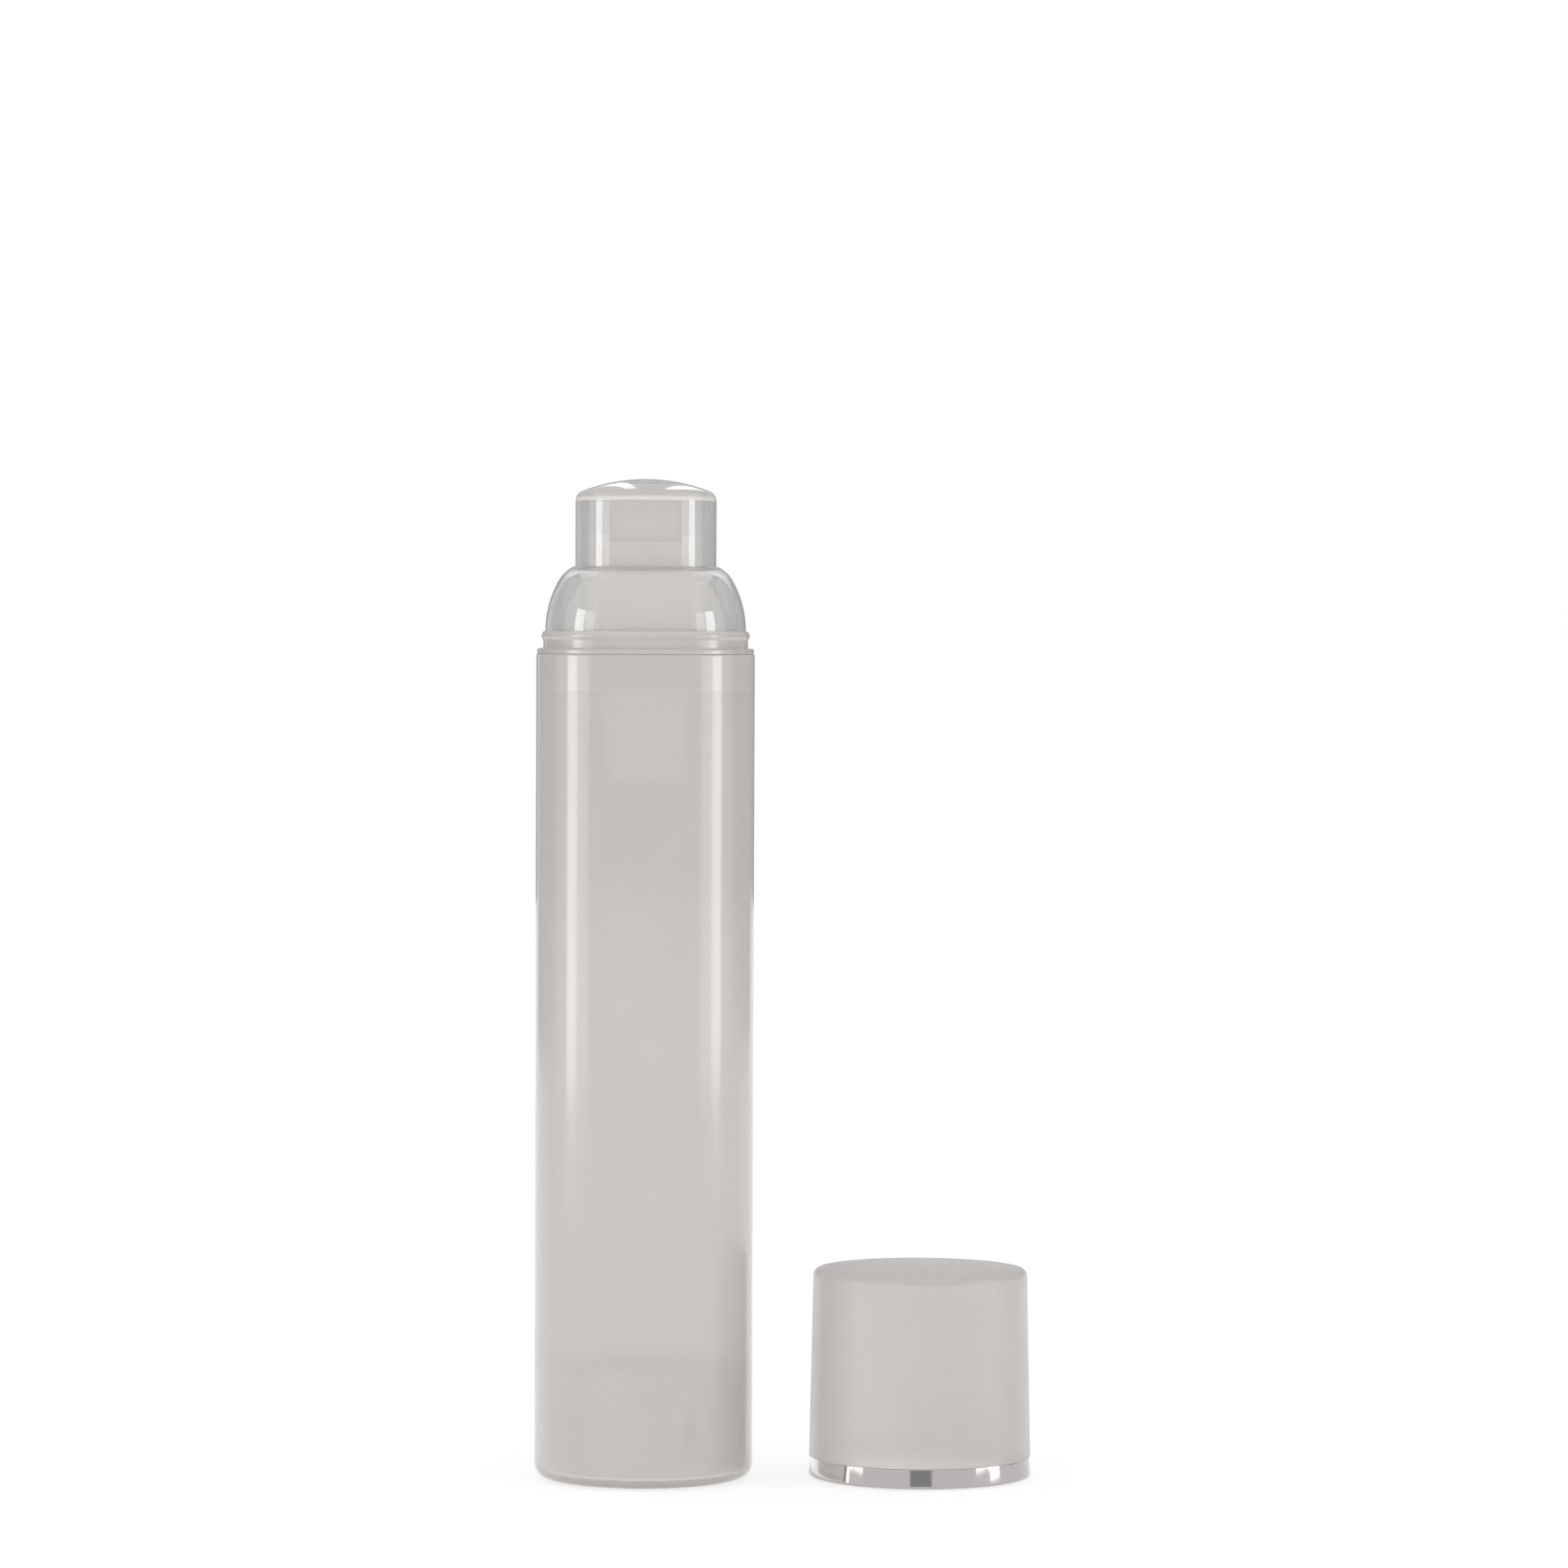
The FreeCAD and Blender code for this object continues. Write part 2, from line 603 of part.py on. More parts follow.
def tangent_arc(start, corner, end):
    """Arc from start to end whose end tangents meet in the corner."""
    middle = (start + end) / 2
    lean = math.acos((end - start).Length / 2 / (corner - start).Length)
    crown = middle + (corner - middle) * (math.tan(lean / 2) / math.tan(lean))
    return Part.Arc(start, crown, end).toShape()


def biarc(start, start_way, end, end_way):
    """Two tangent arcs between two points with given unit tangents."""
    span = end - start
    spread = 1 - start_way.dot(end_way)
    lead = span.dot(start_way + end_way)
    reach = (math.sqrt(lead ** 2 + 2 * spread * span.dot(span)) - lead) / (2 * spread)
    first_corner = start + start_way * reach
    last_corner = end - end_way * reach
    joint = (first_corner + last_corner) / 2
    return [tangent_arc(start, first_corner, joint), tangent_arc(joint, last_corner, end)]


def return_spring():
    """Coil of round wire between the cage's flange and the piston's retainer."""
    wire = dim.spring_wire
    radius = place.spring_radius
    low = place.cage_seat + wire / 2
    rise = place.retainer_end - wire / 2 - low
    quarters = round(dim.spring_turns * 4)
    whole_turn = 2 * math.pi * quarters / 4
    climb = rise / whole_turn

    def point(angle):
        return Vector(radius * math.cos(angle), radius * math.sin(angle), low + climb * angle)

    def way(angle):
        return Vector(-radius * math.sin(angle), radius * math.cos(angle), climb).normalize()

    angles = [index * math.pi / 2 for index in range(quarters + 1)]
    edges = []
    for before, after in zip(angles, angles[1:]):
        edges.extend(biarc(point(before), way(before), point(after), way(after)))
    path = Part.Wire(edges)
    section = Part.Wire([Part.Circle(point(0), way(0), wire / 2).toShape()])
    coil = path.makePipeShell([section], True, False)
    steps = 24
    samples = [point(index * whole_turn / (steps * quarters)) for index in range(steps * quarters + 1)]
    apart = 2 * steps
    gap = min(
        (samples[later] - samples[earlier]).Length
        for earlier in range(len(samples) - apart)
        for later in range(earlier + apart, len(samples))
    ) - wire
    print(f"return_spring: least gap to itself {gap:.3f} mm, volume {coil.Volume:.2f} mm3, "
          f"section times length {math.pi * wire ** 2 / 4 * path.Length:.2f} mm3")
    spring = doc.addObject("Part::Feature", "return_spring")
    spring.Label = "return_spring"
    spring.Shape = coil
    return spring


def pump_piston():
    """Double-lipped seal, with a counterbore for the stem's collar."""
    return turned_piece("pump_piston", [
        ("place.stem_hole", "place.piston_end"),
        ("place.piston_radius", "place.piston_end"),
        ("place.piston_radius", "place.piston_end + dim.piston_lip"),
        ("place.piston_waist", "place.piston_end + dim.piston_lip + dim.piston_flare"),
        ("place.piston_waist", "place.piston_top - dim.piston_lip - dim.piston_flare"),
        ("place.piston_radius", "place.piston_top - dim.piston_lip"),
        ("place.piston_radius", "place.piston_top"),
        ("place.counterbore_radius", "place.piston_top"),
        ("place.counterbore_radius", "place.counterbore_floor"),
        ("place.stem_hole", "place.counterbore_floor"),
    ])


def piston_retainer():
    """Snap ring in the stem's groove, under the piston."""
    return turned_piece("piston_retainer", [
        ("place.groove_radius + dim.retainer_fit", "place.retainer_end"),
        ("place.retainer_radius", "place.retainer_end"),
        ("place.retainer_radius", "place.piston_end"),
        ("place.groove_radius + dim.retainer_fit", "place.piston_end"),
    ])


def stem():
    """Hollow rod with a blind foot, a groove, a collar, cross ports and the outlet seat at its top."""
    body = turned_piece("stem", [
        ("0", "place.stem_end"),
        ("place.stem_radius", "place.stem_end"),
        ("place.stem_radius", "place.retainer_end - dim.retainer_fit"),
        ("place.groove_radius", "place.retainer_end - dim.retainer_fit"),
        ("place.groove_radius", "place.piston_end + dim.retainer_fit"),
        ("place.stem_radius", "place.piston_end + dim.retainer_fit"),
        ("place.stem_radius", "place.stem_collar_under"),
        ("place.stem_collar_radius", "place.stem_collar_under"),
        ("place.stem_collar_radius", "place.piston_top"),
        ("place.stem_radius", "place.piston_top"),
        ("place.stem_radius", "place.stem_top"),
        ("place.outlet_pocket", "place.stem_top"),
        ("place.outlet_pocket", "place.outlet_pocket_floor"),
        ("dim.stem_bore", "place.outlet_seat"),
        ("dim.stem_bore", "place.stem_end + dim.stem_floor"),
        ("0", "place.stem_end + dim.stem_floor"),
    ])
    ports = draw_circle(body, "ports", "XZ_Plane", "0", "place.port_level", "dim.port_radius")
    straight(body, ports, "Pocket", both_ways=True)
    return body


def actuator():
    """Press head: a domed shell with a stem socket, a sleeve that ends in a bell, and the way out."""
    body = turned_piece("actuator", [
        ("place.actuator_radius", "place.actuator_end"),
        ("place.actuator_radius", "place.rounding_level", "dim.crown_rounding", LEFT),
        ("place.rounding_radius * place.crown_edge_scale",
         "place.crown_centre + place.rounding_rise * place.crown_edge_scale", "dim.crown_radius", LEFT),
        ("0", "place.actuator_top"),
        ("0", "place.socket_end"),
        ("place.socket_radius", "place.socket_end"),
        ("place.socket_radius",
         "place.crown_centre + sqrt(place.ceiling_round ^ 2 - place.socket_radius ^ 2)",
         "place.ceiling_round", RIGHT),
        ("place.sleeve_inside",
         "place.crown_centre + sqrt(place.ceiling_round ^ 2 - place.sleeve_inside ^ 2)"),
        ("place.sleeve_inside", "place.bell_under"),
        ("place.bell_inside", "place.bell_under"),
        ("place.bell_inside", "place.bell_end"),
        ("place.bell_radius", "place.bell_end"),
        ("place.bell_radius", "place.bell_top"),
        ("place.sleeve_radius", "place.bell_top"),
        ("place.sleeve_radius",
         "place.crown_centre + sqrt(place.ceiling_round ^ 2 - place.sleeve_radius ^ 2)",
         "place.ceiling_round", RIGHT),
        ("place.rounding_radius * place.ceiling_edge_scale",
         "place.crown_centre + place.rounding_rise * place.ceiling_edge_scale",
         "dim.crown_rounding - dim.actuator_wall", RIGHT),
        ("place.actuator_inside", "place.rounding_level"),
        ("place.actuator_inside", "place.actuator_end"),
    ])
    duct = draw_circle(body, "duct", "XZ_Plane", "0", "place.nozzle_level",
                       "dim.channel_radius + dim.channel_wall")
    straight(body, duct, "Pad", "place.channel_end", flipped=True)
    socket = draw_outline(body, "socket", [
        ("0", "place.socket_end - dim.overrun"),
        ("place.stem_hole", "place.socket_end - dim.overrun"),
        ("place.stem_hole", "place.socket_roof"),
        ("0", "place.socket_roof"),
    ])
    turned(body, socket, "Groove")
    slot = draw_outline(body, "slot", [
        ("-dim.slot_width / 2", "place.socket_roof - dim.overrun"),
        ("dim.slot_width / 2", "place.socket_roof - dim.overrun"),
        ("dim.slot_width / 2", "place.nozzle_level"),
        ("-dim.slot_width / 2", "place.nozzle_level"),
    ])
    straight(body, slot, "Pocket", "dim.slot_length", both_ways=True)
    channel = draw_outline(body, "channel", [
        ("0", "place.nozzle_level"),
        ("place.actuator_radius + dim.overrun", "place.nozzle_level"),
        ("place.actuator_radius + dim.overrun", "place.nozzle_level + dim.nozzle_radius"),
        ("place.nozzle_floor", "place.nozzle_level + dim.nozzle_radius"),
        ("place.nozzle_floor", "place.nozzle_level + dim.channel_radius"),
        ("0", "place.nozzle_level + dim.channel_radius"),
    ], "YZ_Plane")
    add_lying_axis(channel)
    turned(body, channel, "Groove", "Axis0")
    return body


def nozzle_insert():
    """Bush with a flared orifice, pressed into the end of the actuator's channel."""
    body = new_body("nozzle_insert")
    outline = draw_outline(body, "outline", [
        ("place.nozzle_floor", "place.nozzle_level + dim.orifice_radius"),
        ("place.nozzle_face - dim.orifice_flare", "place.nozzle_level + dim.orifice_radius"),
        ("place.nozzle_face", "place.nozzle_level + dim.orifice_radius + dim.orifice_flare"),
        ("place.nozzle_face", "place.nozzle_level + place.insert_radius"),
        ("place.nozzle_floor", "place.nozzle_level + place.insert_radius"),
    ], "YZ_Plane")
    start = Vector(0, value("place.nozzle_level"), 0)
    end = Vector(value("place.nozzle_face"), value("place.nozzle_level"), 0)
    axis = outline.addGeometry(Part.LineSegment(start, end), True)
    outline.addConstraint(Sketcher.Constraint("PointOnObject", axis, 1, -2))
    bind(outline, "DistanceY", "place.nozzle_level", -1, 1, axis, 1)
    bind(outline, "DistanceX", "place.nozzle_face", -1, 1, axis, 2)
    bind(outline, "DistanceY", "place.nozzle_level", -1, 1, axis, 2)
    turned(body, outline, axis="Axis0")
    return body


def follower_piston():
    """Piston with two wiping lips and a well that clears the pump, bevelled to sit in the base's corner."""
    return turned_piece("follower_piston", [
        ("place.follower_radius - dim.base_inner_rounding", "place.follower_end"),
        ("place.follower_radius", "place.follower_end + dim.base_inner_rounding"),
        ("place.follower_radius", "place.follower_end + dim.follower_lip"),
        ("place.follower_waist", "place.follower_end + dim.follower_lip + dim.follower_flare"),
        ("place.follower_waist", "place.follower_top - dim.follower_lip - dim.follower_flare"),
        ("place.follower_radius", "place.follower_top - dim.follower_lip"),
        ("place.follower_radius", "place.follower_top"),
        ("place.well_radius", "place.follower_top"),
        ("place.well_radius", "place.well_floor"),
        ("0", "place.well_floor"),
        ("0", "place.well_under"),
        ("place.well_radius + dim.follower_wall", "place.well_under"),
        ("place.well_radius + dim.follower_wall", "place.follower_top - dim.follower_crown"),
        ("place.follower_waist - dim.follower_wall", "place.follower_top - dim.follower_crown"),
        ("place.follower_waist - dim.follower_wall", "place.follower_end"),
    ])


def stand_apart(body):
    """Put a piece of the cap where the cap stands, beside the bottle."""
    body.setExpression("Placement.Base.x", "place.cap_across")
    body.setExpression("Placement.Base.y", "dim.cap_setback")
    return body


def cap():
    """Tapered overcap, mouth down, with a rib inside that snaps under the collar's bead."""
    return stand_apart(turned_piece("cap", [
        ("place.mouth_inside", "0"),
        ("place.band_seat_radius", "0"),
        ("place.band_seat_radius", "place.band_seat_top"),
        ("place.mouth_radius - place.cap_slope * place.band_seat_top", "place.band_seat_top"),
        ("place.cap_corner_radius", "place.cap_corner", "dim.cap_rounding", LEFT),
        ("place.cap_corner_radius - dim.cap_rounding", "place.cap_height"),
        ("0", "place.cap_height"),
        ("0", "place.cap_ceiling"),
        ("place.cap_inner_corner_radius - dim.cap_inner_rounding", "place.cap_ceiling",
         "dim.cap_inner_rounding", RIGHT),
        ("place.cap_inner_corner_radius", "place.cap_inner_corner"),
        ("place.mouth_inside - place.cap_slope * place.rib_top", "place.rib_top", "place.rib_round", LEFT),
        ("place.mouth_inside - place.cap_slope * dim.cap_rib_start", "dim.cap_rib_start"),
    ]))


def cap_band():
    """Bright ring let into the cap's mouth, flush with its side."""
    return stand_apart(turned_piece("cap_band", [
        ("place.band_inside", "dim.band_lift"),
        ("place.mouth_radius - dim.band_rounding", "dim.band_lift", "dim.band_rounding", LEFT),
        ("place.mouth_radius", "dim.band_lift + dim.band_rounding"),
        ("place.mouth_radius - place.cap_slope * place.band_top", "place.band_top"),
        ("place.band_inside", "place.band_top"),
    ]))


def check(pieces):
    """Stop if a feature failed, a cut took nothing away or a piece is not one valid solid."""
    for item in doc.Objects:
        if {"Invalid", "Error"} & set(item.State):
            raise RuntimeError(f"{item.Label} failed: {item.State}")
        if item.TypeId in ("PartDesign::Pocket", "PartDesign::Groove"):
            if item.Shape.Volume >= item.BaseFeature.Shape.Volume:
                raise RuntimeError(f"{item.Label} cuts nothing")
    for piece in pieces:
        shape = piece.Shape
        if shape.isNull() or not shape.isValid() or len(shape.Solids) != 1:
            raise RuntimeError(f"{piece.Label} is not one valid solid")


def write(pieces):
    """Write each piece to its own file."""
    os.makedirs("parts", exist_ok=True)
    for piece in pieces:
        piece.Shape.exportStep(f"parts/{piece.Label}.step")
        box = piece.Shape.BoundBox
        print(f"{piece.Label}: volume {piece.Shape.Volume:.1f} mm3, "
              f"z {box.ZMin:.2f} to {box.ZMax:.2f} mm")


pieces = [
    bottle_body(),
    collar(),
    pump_housing(),
    housing_gasket(),
    stem_guide(),
    inlet_cage(),
    ball("inlet_ball", "dim.inlet_ball_radius", "place.inlet_ball_centre"),
    return_spring(),
    pump_piston(),
    piston_retainer(),
    stem(),
    ball("outlet_ball", "dim.outlet_ball_radius", "place.outlet_ball_centre"),
    actuator(),
    nozzle_insert(),
    follower_piston(),
    cap(),
    cap_band(),
]
doc.recompute()
check(pieces)
write(pieces)
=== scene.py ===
"""Looks of an airless pump bottle whose overcap stands beside it.

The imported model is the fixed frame. The pieces that show from outside are modelled again with fine edges and stand
for their nodes, the small pieces of the pump keep their nodes, and every piece gets a procedural finish.
Metres, +Z up, with the origin at the centre of the bottle's base and the cap at +X.
"""

import logging
import math
from dataclasses import dataclass
from enum import Enum

import bmesh
import bpy
from mathutils import Matrix, Vector


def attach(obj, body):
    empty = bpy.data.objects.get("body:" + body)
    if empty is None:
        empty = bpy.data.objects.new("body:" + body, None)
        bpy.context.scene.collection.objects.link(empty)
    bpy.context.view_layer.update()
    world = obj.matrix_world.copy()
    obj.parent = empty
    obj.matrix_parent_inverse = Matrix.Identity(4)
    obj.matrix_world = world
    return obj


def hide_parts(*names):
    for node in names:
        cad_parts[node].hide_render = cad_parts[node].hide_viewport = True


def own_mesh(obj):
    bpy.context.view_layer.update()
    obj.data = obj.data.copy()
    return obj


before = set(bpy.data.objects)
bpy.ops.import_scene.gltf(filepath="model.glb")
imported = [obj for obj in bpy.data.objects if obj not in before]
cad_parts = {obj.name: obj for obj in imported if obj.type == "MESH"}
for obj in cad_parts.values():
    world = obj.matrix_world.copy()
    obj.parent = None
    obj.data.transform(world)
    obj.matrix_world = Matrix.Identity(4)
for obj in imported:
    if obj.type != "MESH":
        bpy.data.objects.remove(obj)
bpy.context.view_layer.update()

log = logging.getLogger("airless_bottle")

MM = 0.001
FULL_TURN = 2.0 * math.pi
QUARTER = math.pi / 2.0
# Steps of a full turn, and of a rounded corner
ROUND_STEPS = 160
CORNER_STEPS = 4
# Vertices closer than this are one
WELD = 0.002 * MM
# Clearance between clear pieces whose nodes touch, so that light tells them apart
SKIN = 0.02 * MM
# Faces that meet at more than this angle keep a sharp edge between them
SHARP = math.radians(40.0)
# Stretch of a pattern that is alike along all axes
EVEN = Vector((1.0, 1.0, 1.0))
WHITE = (1.0, 1.0, 1.0, 1.0)
# Point at the top of the press head, and how far the middle of the set is from the bottle's axis
HEAD_TOP = Vector((0.0, 0.0, 170.0)) * MM
SET_MIDDLE = 20.0 * MM
SIDES = ((-1.0, "left"), (1.0, "right"))

Colour = tuple[float, float, float]


class Carrier(Enum):
    """Bodies of the frame that pieces ride on."""

    BOTTLE = "bottle"
    HEAD = "head"
    FOLLOWER = "follower"
    OVERCAP = "overcap"


class Slot(Enum):
    """Material slots, by name."""

    BOTTLE = "bottle_plastic"
    CLEAR = "clear_plastic"
    FROSTED = "frosted_plastic"
    INNER = "inner_plastic"
    SEAL = "seal_plastic"
    STEEL = "steel"
    TRIM = "bright_trim"


def tint(red: int, green: int, blue: int) -> Colour:
    """Turn a screen colour into the light that it stands for.

    Args:
        red: Red, from 0 to 255.
        green: Green, from 0 to 255.
        blue: Blue, from 0 to 255.

    Returns:
        The colour in linear light.
    """
    shares = (level / 255.0 for level in (red, green, blue))
    return tuple(
        share / 12.92 if share <= 0.04045 else ((share + 0.055) / 1.055) ** 2.4 for share in shares
    )


class Wire:
    """Output of a shader node that takes part in Python arithmetic."""

    def __init__(self, graph: "Graph", socket: bpy.types.NodeSocket) -> None:
        """Hold a socket and the graph that it belongs to."""
        self.graph = graph
        self.socket = socket

    def __add__(self, other: "Wire | float") -> "Wire":
        """Sum."""
        return self.graph.math("ADD", self, other)

    __radd__ = __add__

    def __sub__(self, other: "Wire | float") -> "Wire":
        """Difference."""
        return self.graph.math("SUBTRACT", self, other)

    def __rsub__(self, other: float) -> "Wire":
        """Difference from a number."""
        return self.graph.math("SUBTRACT", other, self)

    def __mul__(self, other: "Wire | float") -> "Wire":
        """Product."""
        return self.graph.math("MULTIPLY", self, other)

    __rmul__ = __mul__


class Graph:
    """Node tree of a material or of the world."""

    def __init__(self, tree: bpy.types.NodeTree) -> None:
        """Start from an empty tree."""
        self.tree = tree
        tree.nodes.clear()

    def node(
        self, kind: str, settings: dict[str, object] | None = None, inputs: dict[str | int, object] | None = None
    ) -> bpy.types.Node:
        """Add a node.

        Args:
            kind: The node's type.
            settings: Properties to set first. The entry stops holds a ramp's places and values.
            inputs: Values or wires by the socket's name or number.

        Returns:
            The new node.
        """
        node = self.tree.nodes.new(kind)
        for name, setting in (settings or {}).items():
            if name == "stops":
                self.set_stops(node.color_ramp, setting)
            else:
                setattr(node, name, setting)
        for name, given in (inputs or {}).items():
            if isinstance(given, Wire):
                self.tree.links.new(given.socket, node.inputs[name])
            else:
                node.inputs[name].default_value = given
        return node

    @staticmethod
    def set_stops(ramp: bpy.types.ColorRamp, stops: list[tuple[float, float]]) -> None:
        """Give a ramp its stops.

        Args:
            ramp: The ramp, which has two stops.
            stops: Place and grey value of each stop, in order.
        """
        while len(ramp.elements) < len(stops):
            ramp.elements.new(1.0)
        for element, (place, value) in zip(ramp.elements, stops):
            element.position = place
            element.color = (value, value, value, 1.0)

    def out(self, node: bpy.types.Node, name: str | int = 0) -> Wire:
        """Output of a node as a wire."""
        return Wire(self, node.outputs[name])

    def math(self, operation: str, first: "Wire | float", second: "Wire | float") -> Wire:
        """Result of a Math node."""
        return self.out(self.node("ShaderNodeMath", {"operation": operation}, {0: first, 1: second}))

    def place(self, stretch: Vector, centre: Vector) -> Wire:
        """Object coordinates about a centre, stretched along the axes.

        Args:
            stretch: Factor along each axis.
            centre: The point that becomes the origin.

        Returns:
            The vector to feed to a texture.
        """
        coordinates = self.out(self.node("ShaderNodeTexCoord"), "Object")
        shift = [-part * factor for part, factor in zip(centre, stretch)]
        mapping = self.node("ShaderNodeMapping", None, {"Vector": coordinates, "Location": shift, "Scale": stretch})
        return self.out(mapping)

    def noise(self, where: Wire, scale: float, detail: float = 2.0) -> Wire:
        """Noise from 0 to 1 with features of about one over the scale, in metres."""
        inputs = {"Vector": where, "Scale": scale, "Detail": detail, "Roughness": 0.5}
        return self.out(self.node("ShaderNodeTexNoise", None, inputs), "Fac")

    def ramp(self, value: Wire, stops: list[tuple[float, float]]) -> Wire:
        """Value through a ramp of grey stops."""
        return self.out(self.node("ShaderNodeValToRGB", {"stops": stops}, {"Fac": value}))

    def blend(self, share: Wire, first: Colour, second: Colour) -> Wire:
        """Colour between two colours, through the node's sockets for colours."""
        inputs = {0: share, 6: (*first, 1.0), 7: (*second, 1.0)}
        return self.out(self.node("ShaderNodeMix", {"data_type": "RGBA"}, inputs), 2)

    def relief(self, height: Wire, strength: float, distance: float) -> Wire:
        """Normal that a height gives the surface."""
        inputs = {"Height": height, "Strength": strength, "Distance": distance}
        return self.out(self.node("ShaderNodeBump", None, inputs))

    def surface(self, shader: bpy.types.Node) -> None:
        """Send a shader to the material's output."""
        self.node("ShaderNodeOutputMaterial", None, {"Surface": self.out(shader)})


@dataclass(frozen=True)
class Finish:
    """What every finish has: a name and a way to make its material."""

    name: str

    def material(self) -> bpy.types.Material:
        """Material of this finish, made on first use.

        Returns:
            The material, which all pieces of this finish share.
        """
        known = bpy.data.materials.get(f"finish_{self.name}")
        if known:
            return known
        material = bpy.data.materials.new(f"finish_{self.name}")
        material.use_nodes = True
        self.dress(Graph(material.node_tree))
        return material

    def dress(self, graph: Graph) -> None:
        """Add the finish's nodes."""
        raise NotImplementedError


@dataclass(frozen=True)
class MouldedPlastic(Finish):
    """Moulded plastic, from clear to frosted, with flow clouds, draw marks and a fine grain."""

    colour: Colour
    cloud_colour: Colour
    roughness: float
    transmission: float = 0.0
    coat: float = 0.0
    index: float = 1.5
    centre: Vector = Vector((0.0, 0.0, 0.0))
    cloud_scale: float = 55.0
    cloud_roughness: float = 0.05
    streak_scale: float = 700.0
    streak_roughness: float = 0.04
    grain_scale: float = 5000.0
    grain_height: float = 0.004 * MM
    grain_strength: float = 0.1
    draw_stretch: float = 0.04
    draw_relief: float = 0.3
    coat_roughness: float = 0.08

    def dress(self, graph: Graph) -> None:
        """Add clouds to the colour, draw marks to the gloss and grain to the relief."""
        plain = graph.place(EVEN, self.centre)
        drawn = graph.place(Vector((1.0, 1.0, self.draw_stretch)), self.centre)
        cloud = graph.noise(plain, self.cloud_scale, detail=3.0)
        streak = graph.noise(drawn, self.streak_scale)
        grain = graph.noise(plain, self.grain_scale)
        roughness = (
            self.roughness + self.cloud_roughness * (cloud - 0.5) + self.streak_roughness * (streak - 0.5)
        )
        shader = graph.node("ShaderNodeBsdfPrincipled", None, {
            "Base Color": graph.blend(graph.ramp(cloud, [(0.3, 0.0), (0.7, 1.0)]), self.colour, self.cloud_colour),
            "Roughness": roughness,
            "IOR": self.index,
            "Transmission Weight": self.transmission,
            "Coat Weight": self.coat,
            "Coat Roughness": self.coat_roughness,
            "Normal": graph.relief(grain + self.draw_relief * streak, self.grain_strength, self.grain_height),
        })
        graph.surface(shader)


@dataclass(frozen=True)
class SoftRubber(Finish):
    """Dull rubber with a pale bloom."""

    colour: Colour
    bloom: Colour
    roughness: float = 0.72
    mottle_scale: float = 260.0
    mottle_roughness: float = 0.12
    pore_scale: float = 6500.0
    pore_height: float = 0.01 * MM
    pore_strength: float = 0.15

    def dress(self, graph: Graph) -> None:
        """Mottle the colour and break up the gloss."""
        where = graph.place(EVEN, Vector())
        mottle = graph.noise(where, self.mottle_scale, detail=4.0)
        pores = graph.noise(where, self.pore_scale)
        shader = graph.node("ShaderNodeBsdfPrincipled", None, {
            "Base Color": graph.blend(graph.ramp(mottle, [(0.35, 0.0), (0.7, 1.0)]), self.colour, self.bloom),
            "Roughness": self.roughness + self.mottle_roughness * (mottle - 0.5),
            "Normal": graph.relief(pores, self.pore_strength, self.pore_height),
        })
        graph.surface(shader)


@dataclass(frozen=True)
class Metal(Finish):
    """Metal with fine lines along the way that it was drawn, rolled or polished."""

    colour: Colour
    shade: Colour
    roughness: float
    lines: Vector
    centre: Vector = Vector((0.0, 0.0, 0.0))
    line_strength: float = 0.05
    line_height: float = 0.002 * MM
    line_roughness: float = 0.06
    smudge_scale: float = 180.0
    smudge_roughness: float = 0.05

    def dress(self, graph: Graph) -> None:
        """Add the lines to colour, gloss and relief, and a few soft smudges to the gloss."""
        along = graph.noise(graph.place(self.lines, self.centre), scale=1.0)
        smudge = graph.noise(graph.place(EVEN, self.centre), self.smudge_scale, detail=3.0)
        smudged = graph.ramp(smudge, [(0.5, 0.0), (0.75, 1.0)])
        shader = graph.node("ShaderNodeBsdfPrincipled", None, {
            "Base Color": graph.blend(along, self.shade, self.colour),
            "Metallic": 1.0,
            "Roughness": self.roughness + self.line_roughness * (along - 0.5) + self.smudge_roughness * smudged,
            "Normal": graph.relief(along, self.line_strength, self.line_height),
        })
        graph.surface(shader)


# Foot of the axis that the cap stands about
CAP_AXIS = Vector((47.03, 2.64, 0.0)) * MM

BOTTLE_PLASTIC = MouldedPlastic(
    "bottle_plastic", tint(233, 230, 227), tint(230, 227, 224), roughness=0.16, transmission=0.62, coat=0.35
)
PLUGGED_PLASTIC = MouldedPlastic(
    "plugged_plastic", tint(230, 227, 224), tint(227, 224, 221), roughness=0.16, transmission=0.55, coat=0.6
)
CLEAR_PLASTIC = MouldedPlastic(
    "clear_plastic", tint(254, 253, 252), tint(253, 252, 251), roughness=0.05, transmission=0.88, coat=0.8,
    grain_strength=0.03,
)
FROSTED_PLASTIC = MouldedPlastic(
    "frosted_plastic", tint(230, 227, 225), tint(227, 224, 222), roughness=0.3, transmission=0.62, centre=CAP_AXIS,
    grain_strength=0.25,
)
CORE_PLASTIC = MouldedPlastic(
    "core_plastic", tint(222, 219, 216), tint(219, 216, 213), roughness=0.08, transmission=0.2, cloud_scale=160.0,
    grain_strength=0.03,
)
INNER_PLASTIC = MouldedPlastic(
    "inner_plastic", tint(244, 241, 239), tint(241, 238, 236), roughness=0.38, cloud_scale=160.0
)
SEAL_PLASTIC = MouldedPlastic(
    "seal_plastic", tint(240, 237, 235), tint(236, 233, 231), roughness=0.5, cloud_scale=120.0
)
GASKET_RUBBER = SoftRubber("gasket_rubber", tint(188, 187, 186), tint(202, 201, 200))
BRIGHT_STEEL = Metal(
    "bright_steel", tint(206, 206, 208), tint(190, 190, 193), roughness=0.2, lines=Vector((2500.0, 2500.0, 9000.0))
)
BRIGHT_TRIM = Metal(
    "bright_trim", tint(186, 183, 182), tint(180, 177, 176), roughness=0.07, lines=Vector((60.0, 60.0, 14000.0)),
    centre=CAP_AXIS,
)


